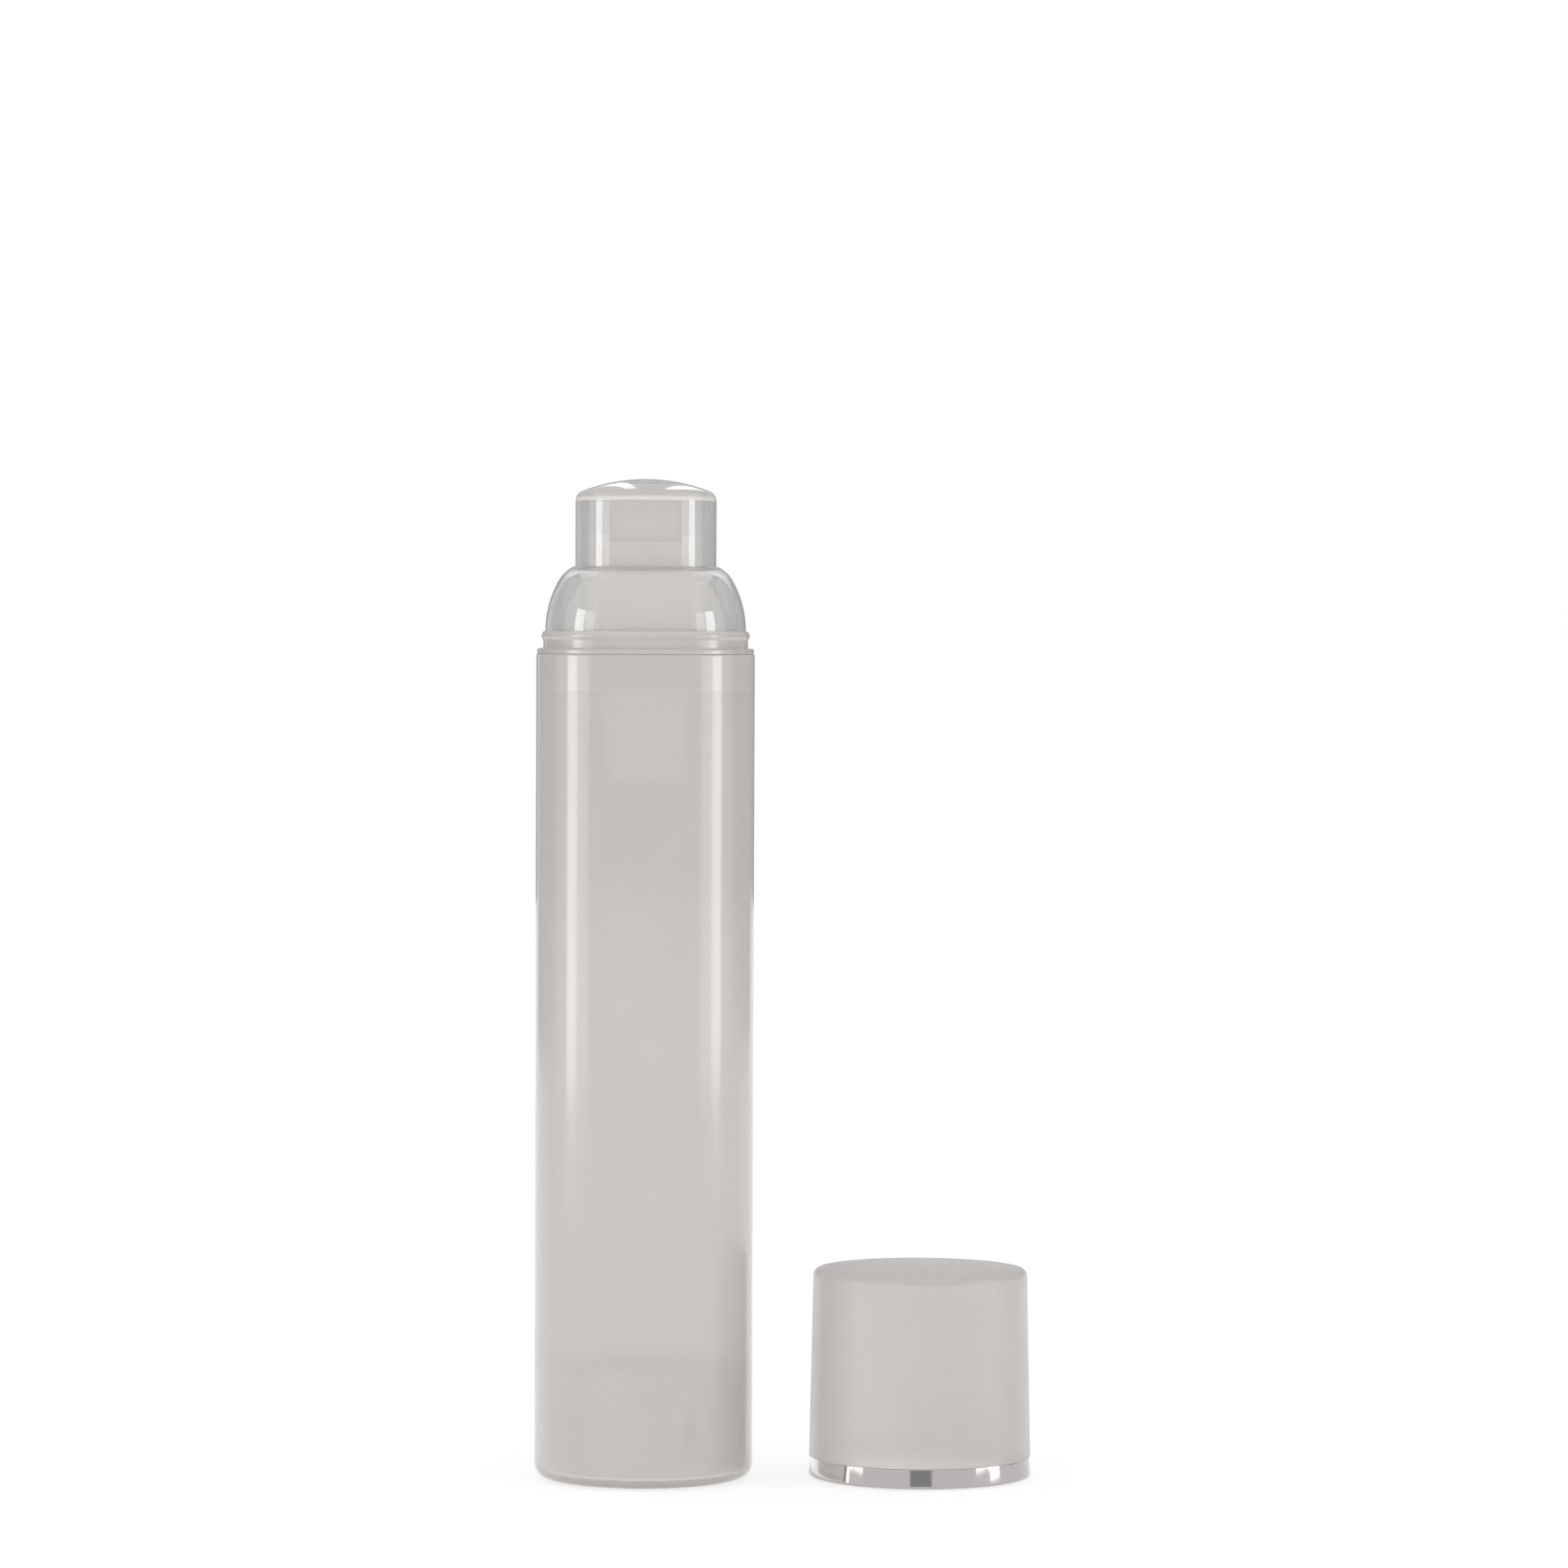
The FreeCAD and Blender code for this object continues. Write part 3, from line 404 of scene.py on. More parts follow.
@dataclass(frozen=True)
class Tag:
    """What a new piece is called, what carries it, which node it stands for and its slot."""

    name: str
    carrier: Carrier
    node: str
    slot: Slot


def put_in_frame(shape: bmesh.types.BMesh, tag: Tag, *finishes: Finish) -> bpy.types.Object:
    """Make a piece of the frame from a finished shape.

    Args:
        shape: The shape in its place, which is used up.
        tag: The piece's name, carrier, node and slot.
        *finishes: The finishes that its faces count from zero.

    Returns:
        The piece, riding on its body in place of its node.
    """
    mesh = bpy.data.meshes.new(tag.name)
    shape.to_mesh(mesh)
    shape.free()
    mesh.shade_smooth()
    mesh.set_sharp_from_angle(angle=SHARP)
    for finish in finishes:
        mesh.materials.append(finish.material())
    piece = bpy.data.objects.new(tag.name, mesh)
    bpy.context.scene.collection.objects.link(piece)
    flatten = piece.modifiers.new("even_normals", "WEIGHTED_NORMAL")
    flatten.keep_sharp = True
    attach(piece, tag.carrier.value)
    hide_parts(tag.node)
    log.info("piece %s: %d faces on %s", tag.name, len(mesh.polygons), tag.carrier.value)
    return piece


class Outline:
    """Outline in the XZ plane, drawn stretch by stretch and then turned into a round piece."""

    def __init__(self, across: float, up: float, rounding: float = 0.0) -> None:
        """Put the pen down.

        Args:
            across: Distance from the axis.
            up: Height.
            rounding: How far the corner is set back on both its sides.
        """
        self.shape = bmesh.new()
        self.corners: dict[float, list[bmesh.types.BMVert]] = {}
        self.tip = self.shape.verts.new((across, 0.0, up))
        self.start = self.tip
        self.mark(rounding)

    def mark(self, rounding: float) -> None:
        """Note that the corner at the pen gets rounded."""
        if rounding:
            self.corners.setdefault(rounding, []).append(self.tip)

    def to(self, across: float, up: float, rounding: float = 0.0) -> "Outline":
        """Draw a straight stretch.

        Args:
            across: Distance from the axis at its end.
            up: Height at its end.
            rounding: How far the corner there is set back on both its sides.

        Returns:
            The outline, for the next stretch.
        """
        self.tip = bmesh.ops.extrude_vert_indiv(self.shape, verts=[self.tip])["verts"][0]
        self.tip.co = (across, 0.0, up)
        self.mark(rounding)
        return self

    def bend(self, across: float, up: float, angle: float, steps: int) -> "Outline":
        """Draw an arc about a centre.

        Args:
            across: The centre's distance from the axis.
            up: The centre's height.
            angle: How far the arc turns, anticlockwise above zero.
            steps: Number of its steps.

        Returns:
            The outline, for the next stretch.
        """
        drawn = bmesh.ops.spin(
            self.shape, geom=[self.tip], cent=(across, 0.0, up), axis=(0.0, -1.0, 0.0), angle=angle, steps=steps,
            use_merge=False, use_duplicate=False,
        )
        self.tip = drawn["geom_last"][0]
        return self

    def swell(self, across: float, up: float, proud: float, steps: int = 6) -> "Outline":
        """Draw a flat arc to a point, which stands out on the right of its way.

        Args:
            across: Distance from the axis at its end.
            up: Height at its end.
            proud: How far its middle stands out, or in where it is below zero.
            steps: Number of its steps.

        Returns:
            The outline, for the next stretch.
        """
        start = Vector((self.tip.co.x, self.tip.co.z))
        chord = Vector((across, up)) - start
        reach = chord.length / 2.0
        radius = (reach ** 2 + proud ** 2) / (2.0 * abs(proud))
        sense = math.copysign(1.0, proud)
        left = Vector((-chord.y, chord.x)).normalized() * sense
        centre = start + chord / 2.0 + left * (radius - abs(proud))
        return self.bend(centre.x, centre.y, sense * 2.0 * math.asin(reach / radius), steps)

    def close(self) -> "Outline":
        """Join the pen's place to the start."""
        self.shape.edges.new((self.tip, self.start))
        return self

    def turned(self, axis: Vector = Vector(), steps: int = ROUND_STEPS) -> bmesh.types.BMesh:
        """Round the marked corners and turn the outline about an upright axis.

        Args:
            axis: A point of the axis, to which the outline's own axis moves.
            steps: Number of steps of the turn.

        Returns:
            The closed shape.
        """
        for rounding, corners in self.corners.items():
            bmesh.ops.bevel(
                self.shape, geom=corners, offset=rounding, offset_type="OFFSET", segments=CORNER_STEPS,
                profile=0.5, affect="VERTICES", clamp_overlap=True, material=-1,
            )
        bmesh.ops.spin(
            self.shape, geom=self.shape.verts[:] + self.shape.edges[:], cent=(0.0, 0.0, 0.0), axis=(0.0, 0.0, 1.0),
            angle=FULL_TURN, steps=steps, use_merge=True, use_duplicate=False,
        )
        bmesh.ops.remove_doubles(self.shape, verts=self.shape.verts, dist=WELD)
        bmesh.ops.recalc_face_normals(self.shape, faces=self.shape.faces)
        bmesh.ops.translate(self.shape, verts=self.shape.verts, vec=axis)
        return self.shape


class Cut(Enum):
    """What a tool does to a shape."""

    TAKE = "DIFFERENCE"
    JOIN = "UNION"


def worked(shape: bmesh.types.BMesh, tools: list[tuple[Cut, bmesh.types.BMesh]]) -> bmesh.types.BMesh:
    """Work a shape with tools, one after another.

    Args:
        shape: The shape, which is used up.
        tools: What each tool does, and its shape, which is used up.

    Returns:
        The worked shape.
    """
    helpers = []
    for index, (_, solid) in enumerate([(None, shape), *tools]):
        mesh = bpy.data.meshes.new(f"work_{index}")
        solid.to_mesh(mesh)
        solid.free()
        helper = bpy.data.objects.new(f"work_{index}", mesh)
        bpy.context.scene.collection.objects.link(helper)
        helpers.append(helper)
    for (cut, _), helper in zip(tools, helpers[1:]):
        step = helpers[0].modifiers.new("work", "BOOLEAN")
        step.operation = cut.value
        step.solver = "EXACT"
        step.object = helper
    depsgraph = bpy.context.evaluated_depsgraph_get()
    result = bmesh.new()
    result.from_object(helpers[0], depsgraph)
    for helper in helpers:
        mesh = helper.data
        bpy.data.objects.remove(helper)
        bpy.data.meshes.remove(mesh)
    bmesh.ops.remove_doubles(result, verts=result.verts, dist=WELD)
    bmesh.ops.dissolve_degenerate(result, dist=WELD, edges=result.edges)
    return result


def rod(radius: float, start: Vector, end: Vector, steps: int = 48) -> bmesh.types.BMesh:
    """Round rod between two points, as a tool.

    Args:
        radius: Its radius.
        start: The centre of one end.
        end: The centre of the other end.
        steps: Number of its sides.

    Returns:
        The rod.
    """
    shape = bmesh.new()
    way = end - start
    seat = Matrix.Translation((start + end) / 2.0) @ way.to_track_quat("Z", "Y").to_matrix().to_4x4()
    bmesh.ops.create_cone(
        shape, cap_ends=True, segments=steps, radius1=radius, radius2=radius, depth=way.length, matrix=seat
    )
    return shape


def block(low: Vector, high: Vector) -> bmesh.types.BMesh:
    """Block between two corners, as a tool.

    Args:
        low: The lowest corner.
        high: The highest corner.

    Returns:
        The block.
    """
    shape = bmesh.new()
    seat = Matrix.Translation((low + high) / 2.0) @ Matrix.Diagonal((*(high - low), 1.0))
    bmesh.ops.create_cube(shape, size=1.0, matrix=seat)
    return shape


@dataclass
class BottleShell:
    """Long body with its closed base, air vent and the groove that the collar snaps into."""

    radius: float = 18.5 * MM
    wall: float = 1.1 * MM
    height: float = 139.6 * MM
    base: float = 1.5 * MM
    base_rounding: float = 2.2 * MM
    inner_rounding: float = 0.9 * MM
    rim_rounding: float = 0.3 * MM
    plug_end: float = 133.5 * MM
    snap_middle: float = 135.2 * MM
    snap_height: float = 1.0 * MM
    snap_depth: float = 0.2 * MM
    rim_edge: float = 0.15 * MM
    gate_radius: float = 1.9 * MM
    gate_depth: float = 0.25 * MM
    gate_slope: float = 0.25 * MM
    gate_edge: float = 0.12 * MM
    nub_radius: float = 0.55 * MM
    nub_sunk: float = 0.1 * MM
    nub_slope: float = 0.15 * MM
    nub_edge: float = 0.1 * MM
    vent_radius: float = 0.75 * MM
    vent_offset: float = 8.0 * MM
    vent_groove: float = 1.6 * MM
    vent_depth: float = 0.3 * MM

    def build(self) -> None:
        """Turn the body, cut its vent and put it in the frame."""
        bore = self.radius - self.wall
        rim = self.height - SKIN
        outline = Outline(0.0, self.nub_sunk)
        outline.to(self.nub_radius, self.nub_sunk, self.nub_edge)
        outline.to(self.nub_radius + self.nub_slope, self.gate_depth, self.nub_edge)
        outline.to(self.gate_radius, self.gate_depth, self.gate_edge)
        outline.to(self.gate_radius + self.gate_slope, 0.0, self.gate_edge)
        outline.to(self.radius - self.base_rounding, 0.0)
        outline.bend(self.radius - self.base_rounding, self.base_rounding, QUARTER, steps=10)
        outline.to(self.radius, self.plug_end)
        outline.to(self.radius, rim, self.rim_rounding)
        outline.to(bore, rim, self.rim_edge)
        outline.to(bore, self.snap_middle + self.snap_height / 2.0)
        outline.swell(bore, self.snap_middle - self.snap_height / 2.0, -self.snap_depth)
        outline.to(bore, self.base, self.inner_rounding)
        outline.to(0.0, self.base)
        vent = rod(
            self.vent_radius, Vector((0.0, self.vent_offset, -self.base)),
            Vector((0.0, self.vent_offset, 2.0 * self.base)),
        )
        groove = block(
            Vector((-self.vent_groove / 2.0, self.vent_offset, -self.base)),
            Vector((self.vent_groove / 2.0, self.radius + self.wall, self.vent_depth)),
        )
        shape = worked(outline.turned(), [(Cut.TAKE, vent), (Cut.TAKE, groove)])
        for face in shape.faces:
            middle = face.calc_center_median()
            outside = math.hypot(middle.x, middle.y) > bore + self.wall / 2.0
            face.material_index = int(outside and middle.z > self.plug_end)
        put_in_frame(
            shape, Tag("bottle_shell", Carrier.BOTTLE, "bottle_body", Slot.BOTTLE), BOTTLE_PLASTIC, PLUGGED_PLASTIC
        )


@dataclass
class Collar:
    """Domed shoulder with its ledge, cap bead and plug skirt."""

    skirt_radius: float = 17.37 * MM
    skirt_inside: float = 16.25 * MM
    skirt_end: float = BottleShell.plug_end
    lip_radius: float = 15.9 * MM
    lip_height: float = 0.6 * MM
    snap_middle: float = BottleShell.snap_middle
    snap_height: float = BottleShell.snap_height
    snap_depth: float = BottleShell.snap_depth
    seat: float = BottleShell.height
    flange_radius: float = 18.35 * MM
    ledge: float = 140.5 * MM
    neck_radius: float = 17.33 * MM
    bead_low: float = 141.95 * MM
    bead_proud: float = 0.45 * MM
    dome_base: float = 143.5 * MM
    dome_radius: float = 16.97 * MM
    dome_height: float = 11.4 * MM
    opening_radius: float = 12.2 * MM
    crest_inset: float = 2.5 * MM
    shoulder_share: float = 0.8
    wall: float = 1.2 * MM
    shelf_under: float = 139.8 * MM
    shelf_top: float = 140.7 * MM
    shelf_radius: float = 14.8 * MM
    edge: float = 0.12 * MM

    def build(self) -> None:
        """Turn the collar and put it in the frame."""
        crest = self.opening_radius - self.crest_inset
        span = self.dome_radius - crest
        shoulder = self.shoulder_share * span
        level = self.dome_base + self.dome_height - shoulder
        rise = level - self.dome_base
        side = (span ** 2 + rise ** 2 - shoulder ** 2) / (2.0 * (span - shoulder))
        lean = math.asin(rise / (side - shoulder))
        top_angle = math.acos(self.crest_inset / shoulder)
        inner = shoulder - self.wall
        under_angle = math.acos(self.crest_inset / inner)
        outline = Outline(self.lip_radius, self.skirt_end, self.edge)
        outline.to(self.skirt_radius, self.skirt_end, 2.0 * self.edge)
        outline.to(self.skirt_radius, self.snap_middle - self.snap_height / 2.0)
        outline.swell(self.skirt_radius, self.snap_middle + self.snap_height / 2.0, self.snap_depth)
        outline.to(self.skirt_radius, self.seat)
        outline.to(self.flange_radius, self.seat, self.edge)
        outline.to(self.flange_radius, self.ledge, 2.5 * self.edge)
        outline.to(self.neck_radius, self.ledge, 1.5 * self.edge)
        outline.to(self.neck_radius, self.bead_low)
        outline.swell(self.dome_radius, self.dome_base, self.bead_proud, steps=8)
        outline.bend(self.dome_radius - side, self.dome_base, lean, steps=14)
        outline.bend(crest, level, top_angle - lean, steps=16)
        outline.to(self.opening_radius, level + inner * math.sin(under_angle), self.edge)
        outline.bend(crest, level, lean - under_angle, steps=14)
        outline.bend(self.dome_radius - side, self.dome_base, -lean, steps=12)
        outline.to(self.dome_radius - self.wall, self.shelf_top, 2.0 * self.edge)
        outline.to(self.shelf_radius, self.shelf_top, self.edge)
        outline.to(self.shelf_radius, self.shelf_under + SKIN, self.edge)
        outline.to(self.skirt_inside, self.shelf_under + SKIN, self.edge)
        outline.to(self.skirt_inside, self.skirt_end + self.lip_height)
        outline.to(self.lip_radius, self.skirt_end + self.lip_height, self.edge)
        shape = outline.close().turned()
        for face in shape.faces:
            middle = face.calc_center_median()
            across = math.hypot(middle.x, middle.y)
            face.material_index = int(middle.z < self.dome_base or across < self.opening_radius + self.edge)
        put_in_frame(
            shape, Tag("collar_shell", Carrier.BOTTLE, "collar", Slot.CLEAR), CLEAR_PLASTIC, BOTTLE_PLASTIC
        )


@dataclass
class PressHead:
    """Press head with its stem socket, bell and the duct to the nozzle bush."""

    radius: float = 11.92 * MM
    wall: float = 1.05 * MM
    top: float = 169.15 * MM
    end: float = 144.0 * MM
    crown: float = 29.5 * MM
    rounding: float = 1.8 * MM
    socket_inside: float = 3.03 * MM
    socket_radius: float = 4.2 * MM
    socket_end: float = 154.3 * MM
    socket_roof: float = 161.05 * MM
    sleeve_inside: float = 5.2 * MM
    sleeve_radius: float = 6.2 * MM
    bell_inside: float = 7.1 * MM
    bell_radius: float = 8.1 * MM
    bell_under: float = 157.3 * MM
    bell_top: float = 158.5 * MM
    bell_end: float = 143.2 * MM
    core_radius: float = 10.4 * MM
    ceiling_start: float = 25.8 * MM
    edge: float = 0.12 * MM
    duct_level: float = 162.6 * MM
    duct_radius: float = 2.6 * MM
    channel_radius: float = 1.1 * MM
    slot_width: float = 1.2 * MM
    slot_length: float = 3.4 * MM
    nozzle_radius: float = 2.0 * MM
    nozzle_depth: float = 2.5 * MM
    bush_radius: float = 1.98 * MM
    bush_inset: float = 0.3 * MM
    orifice_radius: float = 0.6 * MM
    orifice_flare: float = 0.5 * MM

    def build(self) -> None:
        """Make the head and its nozzle bush."""
        self.build_head()
        self.build_bush()

    def ceiling(self, across: float) -> float:
        """Height of the shell's underside at a distance from the axis."""
        return self.top - self.crown + math.sqrt((self.crown - self.wall) ** 2 - across ** 2)

    def build_head(self) -> None:
        """Turn the head, join its duct and cut the product's way through it."""
        middle = self.top - self.crown
        edge_across = self.radius - self.rounding
        edge_up = middle + math.sqrt((self.crown - self.rounding) ** 2 - edge_across ** 2)
        lean = math.atan2(edge_up - middle, edge_across)
        outline = Outline(0.0, self.socket_roof)
        outline.to(self.socket_inside, self.socket_roof)
        outline.to(self.socket_inside, self.socket_end, 2.0 * self.edge)
        outline.to(self.socket_radius, self.socket_end, self.edge)
        outline.to(self.socket_radius, self.ceiling(self.socket_radius), self.edge)
        outline.to(self.sleeve_inside, self.ceiling(self.sleeve_inside), self.edge)
        outline.to(self.sleeve_inside, self.bell_under, self.edge)
        outline.to(self.bell_inside, self.bell_under, self.edge)
        outline.to(self.bell_inside, self.bell_end, self.edge)
        outline.to(self.bell_radius, self.bell_end, self.edge)
        outline.to(self.bell_radius, self.bell_top, 3.0 * self.edge)
        outline.to(self.sleeve_radius, self.bell_top, 2.0 * self.edge)
        start = self.ceiling(self.sleeve_radius)
        outline.to(self.sleeve_radius, start)
        outline.bend(0.0, middle, lean - math.atan2(start - middle, self.sleeve_radius), steps=8)
        outline.bend(edge_across, edge_up, -lean, steps=6)
        outline.to(self.radius - self.wall, self.end, self.edge)
        outline.to(self.radius, self.end, 2.0 * self.edge)
        outline.to(self.radius, edge_up)
        outline.bend(edge_across, edge_up, lean, steps=10)
        outline.bend(0.0, middle, QUARTER - lean, steps=20)
        level = self.duct_level
        floor = self.radius - self.nozzle_depth
        root = self.socket_inside + self.edge / 2.0
        duct = rod(self.duct_radius, Vector((0.0, root, level)), Vector((0.0, self.radius - self.wall / 2.0, level)))
        channel = rod(self.channel_radius, Vector((0.0, 0.0, level)), Vector((0.0, self.radius, level)))
        pocket = rod(self.nozzle_radius, Vector((0.0, floor, level)), Vector((0.0, self.radius + self.wall, level)))
        slot = block(
            Vector((-self.slot_width / 2.0, -self.slot_length / 2.0, self.socket_roof - self.wall)),
            Vector((self.slot_width / 2.0, self.slot_length / 2.0, level)),
        )
        shape = worked(
            outline.turned(), [(Cut.JOIN, duct), (Cut.TAKE, slot), (Cut.TAKE, channel), (Cut.TAKE, pocket)]
        )
        for face in shape.faces:
            face.material_index = int(self.in_core(face.calc_center_median()))
        put_in_frame(shape, Tag("press_head", Carrier.HEAD, "actuator", Slot.CLEAR), CLEAR_PLASTIC, CORE_PLASTIC)

    def in_core(self, point: Vector) -> bool:
        """Whether a point of the surface is on the milky core or the milky ceiling under the clear shell."""
        across = math.hypot(point.x, point.y)
        if point.z > self.top - self.crown + self.ceiling_start:
            return math.hypot(across, point.z - self.top + self.crown) < self.crown - self.wall / 2.0
        return across < self.core_radius and point.z < self.ceiling(across) - self.edge

    def build_bush(self) -> None:
        """Turn the nozzle bush upright, then lay it along the duct."""
        low = self.radius - self.nozzle_depth + SKIN
        face = self.radius - self.bush_inset
        outline = Outline(self.orifice_radius, low)
        outline.to(self.bush_radius, low, self.edge)
        outline.to(self.bush_radius, face, self.edge)
        outline.to(self.orifice_radius + self.orifice_flare, face, self.edge)
        outline.to(self.orifice_radius, face - self.orifice_flare, self.edge)
        shape = outline.close().turned(steps=64)
        lay = Matrix.Translation((0.0, 0.0, self.duct_level)) @ Matrix.Rotation(-QUARTER, 4, "X")
        bmesh.ops.transform(shape, matrix=lay, verts=shape.verts)
        put_in_frame(shape, Tag("nozzle_bush", Carrier.HEAD, "nozzle_insert", Slot.INNER), INNER_PLASTIC)


@dataclass
class Follower:
    """Piston under the product, with two wiping lips and a well that clears the pump."""

    radius: float = 17.37 * MM
    waist: float = 16.87 * MM
    wall: float = 1.0 * MM
    crown: float = 1.2 * MM
    end: float = 1.8 * MM
    top: float = 18.8 * MM
    lip: float = 1.5 * MM
    flare: float = 1.0 * MM
    bevel: float = 0.9 * MM
    well_radius: float = 7.4 * MM
    well_floor: float = 3.5 * MM
    edge: float = 0.15 * MM

    def build(self) -> None:
        """Turn the piston and put it in the frame."""
        outline = Outline(self.radius - self.bevel, self.end, self.edge)
        outline.to(self.radius, self.end + self.bevel, self.edge)
        outline.to(self.radius, self.end + self.lip, self.edge)
        outline.to(self.waist, self.end + self.lip + self.flare, 2.0 * self.edge)
        outline.to(self.waist, self.top - self.lip - self.flare, 2.0 * self.edge)
        outline.to(self.radius, self.top - self.lip, self.edge)
        outline.to(self.radius, self.top, self.edge)
        outline.to(self.well_radius, self.top, 2.0 * self.edge)
        outline.to(self.well_radius, self.well_floor, 3.0 * self.edge)
        outline.to(0.0, self.well_floor)
        outline.to(0.0, self.well_floor - self.crown)
        outline.to(self.well_radius + self.wall, self.well_floor - self.crown, 3.0 * self.edge)
        outline.to(self.well_radius + self.wall, self.top - self.crown, 2.0 * self.edge)
        outline.to(self.waist - self.wall, self.top - self.crown, 2.0 * self.edge)
        outline.to(self.waist - self.wall, self.end, self.edge)
        put_in_frame(
            outline.close().turned(), Tag("follower", Carrier.FOLLOWER, "follower_piston", Slot.SEAL), SEAL_PLASTIC
        )


@dataclass
class ReturnSpring:
    """Coil spring of round wire with closed ends."""

    radius: float = 4.525 * MM
    wire: float = 0.8 * MM
    low: float = 122.5 * MM
    high: float = 137.8 * MM
    end_turns: float = 1.0
    open_turns: float = 4.5
    ease_turns: float = 0.25
    closed_pitch: float = 1.04
    stroke: float = 6.0 * MM
    wire_steps: int = 14
    turn_steps: int = 48

    def build(self) -> None:
        """Wind the wire in five stretches of different rise, close its ends and put it in the frame."""
        shape = bmesh.new()
        seat = Matrix.Translation((self.radius, 0.0, self.low + self.wire / 2.0)) @ Matrix.Rotation(QUARTER, 4, "X")
        section = bmesh.ops.create_circle(
            shape, cap_ends=False, segments=self.wire_steps, radius=self.wire / 2.0, matrix=seat
        )["verts"]
        first = list({edge for vertex in section for edge in vertex.link_edges})
        tip = section + first
        closed_rise = self.closed_pitch * self.wire
        ease = self.ease_turns
        rest = self.high - self.low - self.wire - 2.0 * self.end_turns * closed_rise
        open_rise = (rest - ease * closed_rise) / (self.open_turns - ease)
        middle_rise = (closed_rise + open_rise) / 2.0
        stretches = [
            (self.end_turns, closed_rise), (ease, middle_rise), (self.open_turns - 2.0 * ease, open_rise),
            (ease, middle_rise), (self.end_turns, closed_rise),
        ]
        for turns, rise in stretches:
            steps = round(turns * self.turn_steps)
            tip = bmesh.ops.spin(
                shape, geom=tip, cent=(0.0, 0.0, 0.0), axis=(0.0, 0.0, 1.0), dvec=(0.0, 0.0, rise * turns / steps),
                angle=FULL_TURN * turns, steps=steps, use_merge=False, use_duplicate=False,
            )["geom_last"]
        last = [part for part in tip if isinstance(part, bmesh.types.BMEdge)]
        bmesh.ops.edgeloop_fill(shape, edges=first)
        bmesh.ops.edgeloop_fill(shape, edges=last)
        bmesh.ops.recalc_face_normals(shape, faces=shape.faces)
        spring = put_in_frame(shape, Tag("coil_spring", Carrier.BOTTLE, "return_spring", Slot.STEEL), BRIGHT_STEEL)
        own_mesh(spring)


@dataclass
class Overcap:
    """Frosted cap, mouth down, with its rib inside and the bright band round its mouth."""

    axis: Vector = CAP_AXIS
    mouth_radius: float = 18.91 * MM
    mouth_inside: float = 17.67 * MM
    height: float = 35.2 * MM
    draft: float = 0.74 * MM
    top: float = 1.3 * MM
    rounding: float = 1.1 * MM
    inner_rounding: float = 0.8 * MM
    rib_start: float = 0.5 * MM
    rib_height: float = 0.9 * MM
    rib_proud: float = 0.2 * MM
    band_low: float = 0.1 * MM
    band_height: float = 3.2 * MM
    band_wall: float = 0.35 * MM
    band_fit: float = 0.02 * MM
    band_edge: float = 0.2 * MM
    band_roll: float = 0.05 * MM
    band_lean: float = 0.22 * MM
    band_crown: float = 0.01 * MM
    edge: float = 0.12 * MM

    def build(self) -> None:
        """Make the cap and its band."""
        self.build_cap()
        self.build_band()

    def side(self, radius: float, up: float) -> float:
        """Radius of a side at a height, from its radius at the mouth."""
        return radius - self.draft / self.height * up

    def build_cap(self) -> None:
        """Turn the cap and put it in the frame."""
        seat = self.mouth_radius - self.band_wall - self.band_fit
        step = self.band_low + self.band_height + self.band_fit
        ceiling = self.height - self.top
        rib_top = self.rib_start + self.rib_height
        outline = Outline(self.mouth_inside, 0.0, self.edge)
        outline.to(seat, 0.0, self.edge)
        outline.to(seat, step)
        outline.to(self.side(self.mouth_radius, step), step, self.edge)
        outline.to(self.side(self.mouth_radius, self.height), self.height, self.rounding)
        outline.to(0.0, self.height)
        outline.to(0.0, ceiling)
        outline.to(self.side(self.mouth_inside, ceiling), ceiling, self.inner_rounding)
        outline.to(self.side(self.mouth_inside, rib_top), rib_top)
        outline.swell(self.side(self.mouth_inside, self.rib_start), self.rib_start, self.rib_proud)
        put_in_frame(
            outline.close().turned(self.axis), Tag("overcap_shell", Carrier.OVERCAP, "cap", Slot.FROSTED),
            FROSTED_PLASTIC,
        )

    def build_band(self) -> None:
        """Turn the band, leaning inwards and with rolled edges, and put it in the frame."""
        inside = self.mouth_radius - self.band_wall
        top = self.band_low + self.band_height
        foot = self.mouth_radius - self.band_crown
        head = self.side(self.mouth_radius, top) - self.band_lean
        outline = Outline(inside, self.band_low)
        outline.to(foot - self.band_edge, self.band_low)
        outline.bend(foot - self.band_edge, self.band_low + self.band_edge, QUARTER, CORNER_STEPS)
        outline.swell(head, top - self.band_roll, self.band_crown, steps=16)
        outline.bend(head - self.band_roll, top - self.band_roll, QUARTER, CORNER_STEPS)
        outline.to(inside, top)
        put_in_frame(
            outline.close().turned(self.axis, steps=2 * ROUND_STEPS),
            Tag("mouth_band", Carrier.OVERCAP, "cap_band", Slot.TRIM), BRIGHT_TRIM,
        )


NODE_FINISHES: dict[str, Finish] = {
    "pump_housing": INNER_PLASTIC,
    "housing_gasket": GASKET_RUBBER,
    "stem_guide": INNER_PLASTIC,
    "inlet_cage": INNER_PLASTIC,
    "inlet_ball": BRIGHT_STEEL,
    "pump_piston": SEAL_PLASTIC,
    "piston_retainer": INNER_PLASTIC,
    "stem": INNER_PLASTIC,
    "outlet_ball": BRIGHT_STEEL,
}


def dress_nodes() -> None:
    """Give the pump's own nodes their finishes."""
    for name, finish in NODE_FINISHES.items():
        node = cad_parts[name]
        for slot in node.material_slots:
            slot.material = finish.material()
        log.info("node %s: %s", name, finish.name)


def gathered(name: str, pieces: tuple[str, ...]) -> bpy.types.Collection:
    """Gather pieces that a lamp lights alone.

    Args:
        name: Name of the collection.
        pieces: Names of the pieces.

    Returns:
        The collection, which isn't linked to the scene.
    """
    lit = bpy.data.collections.new(name)
    for piece in pieces:
        lit.objects.link(bpy.data.objects[piece])
    return lit


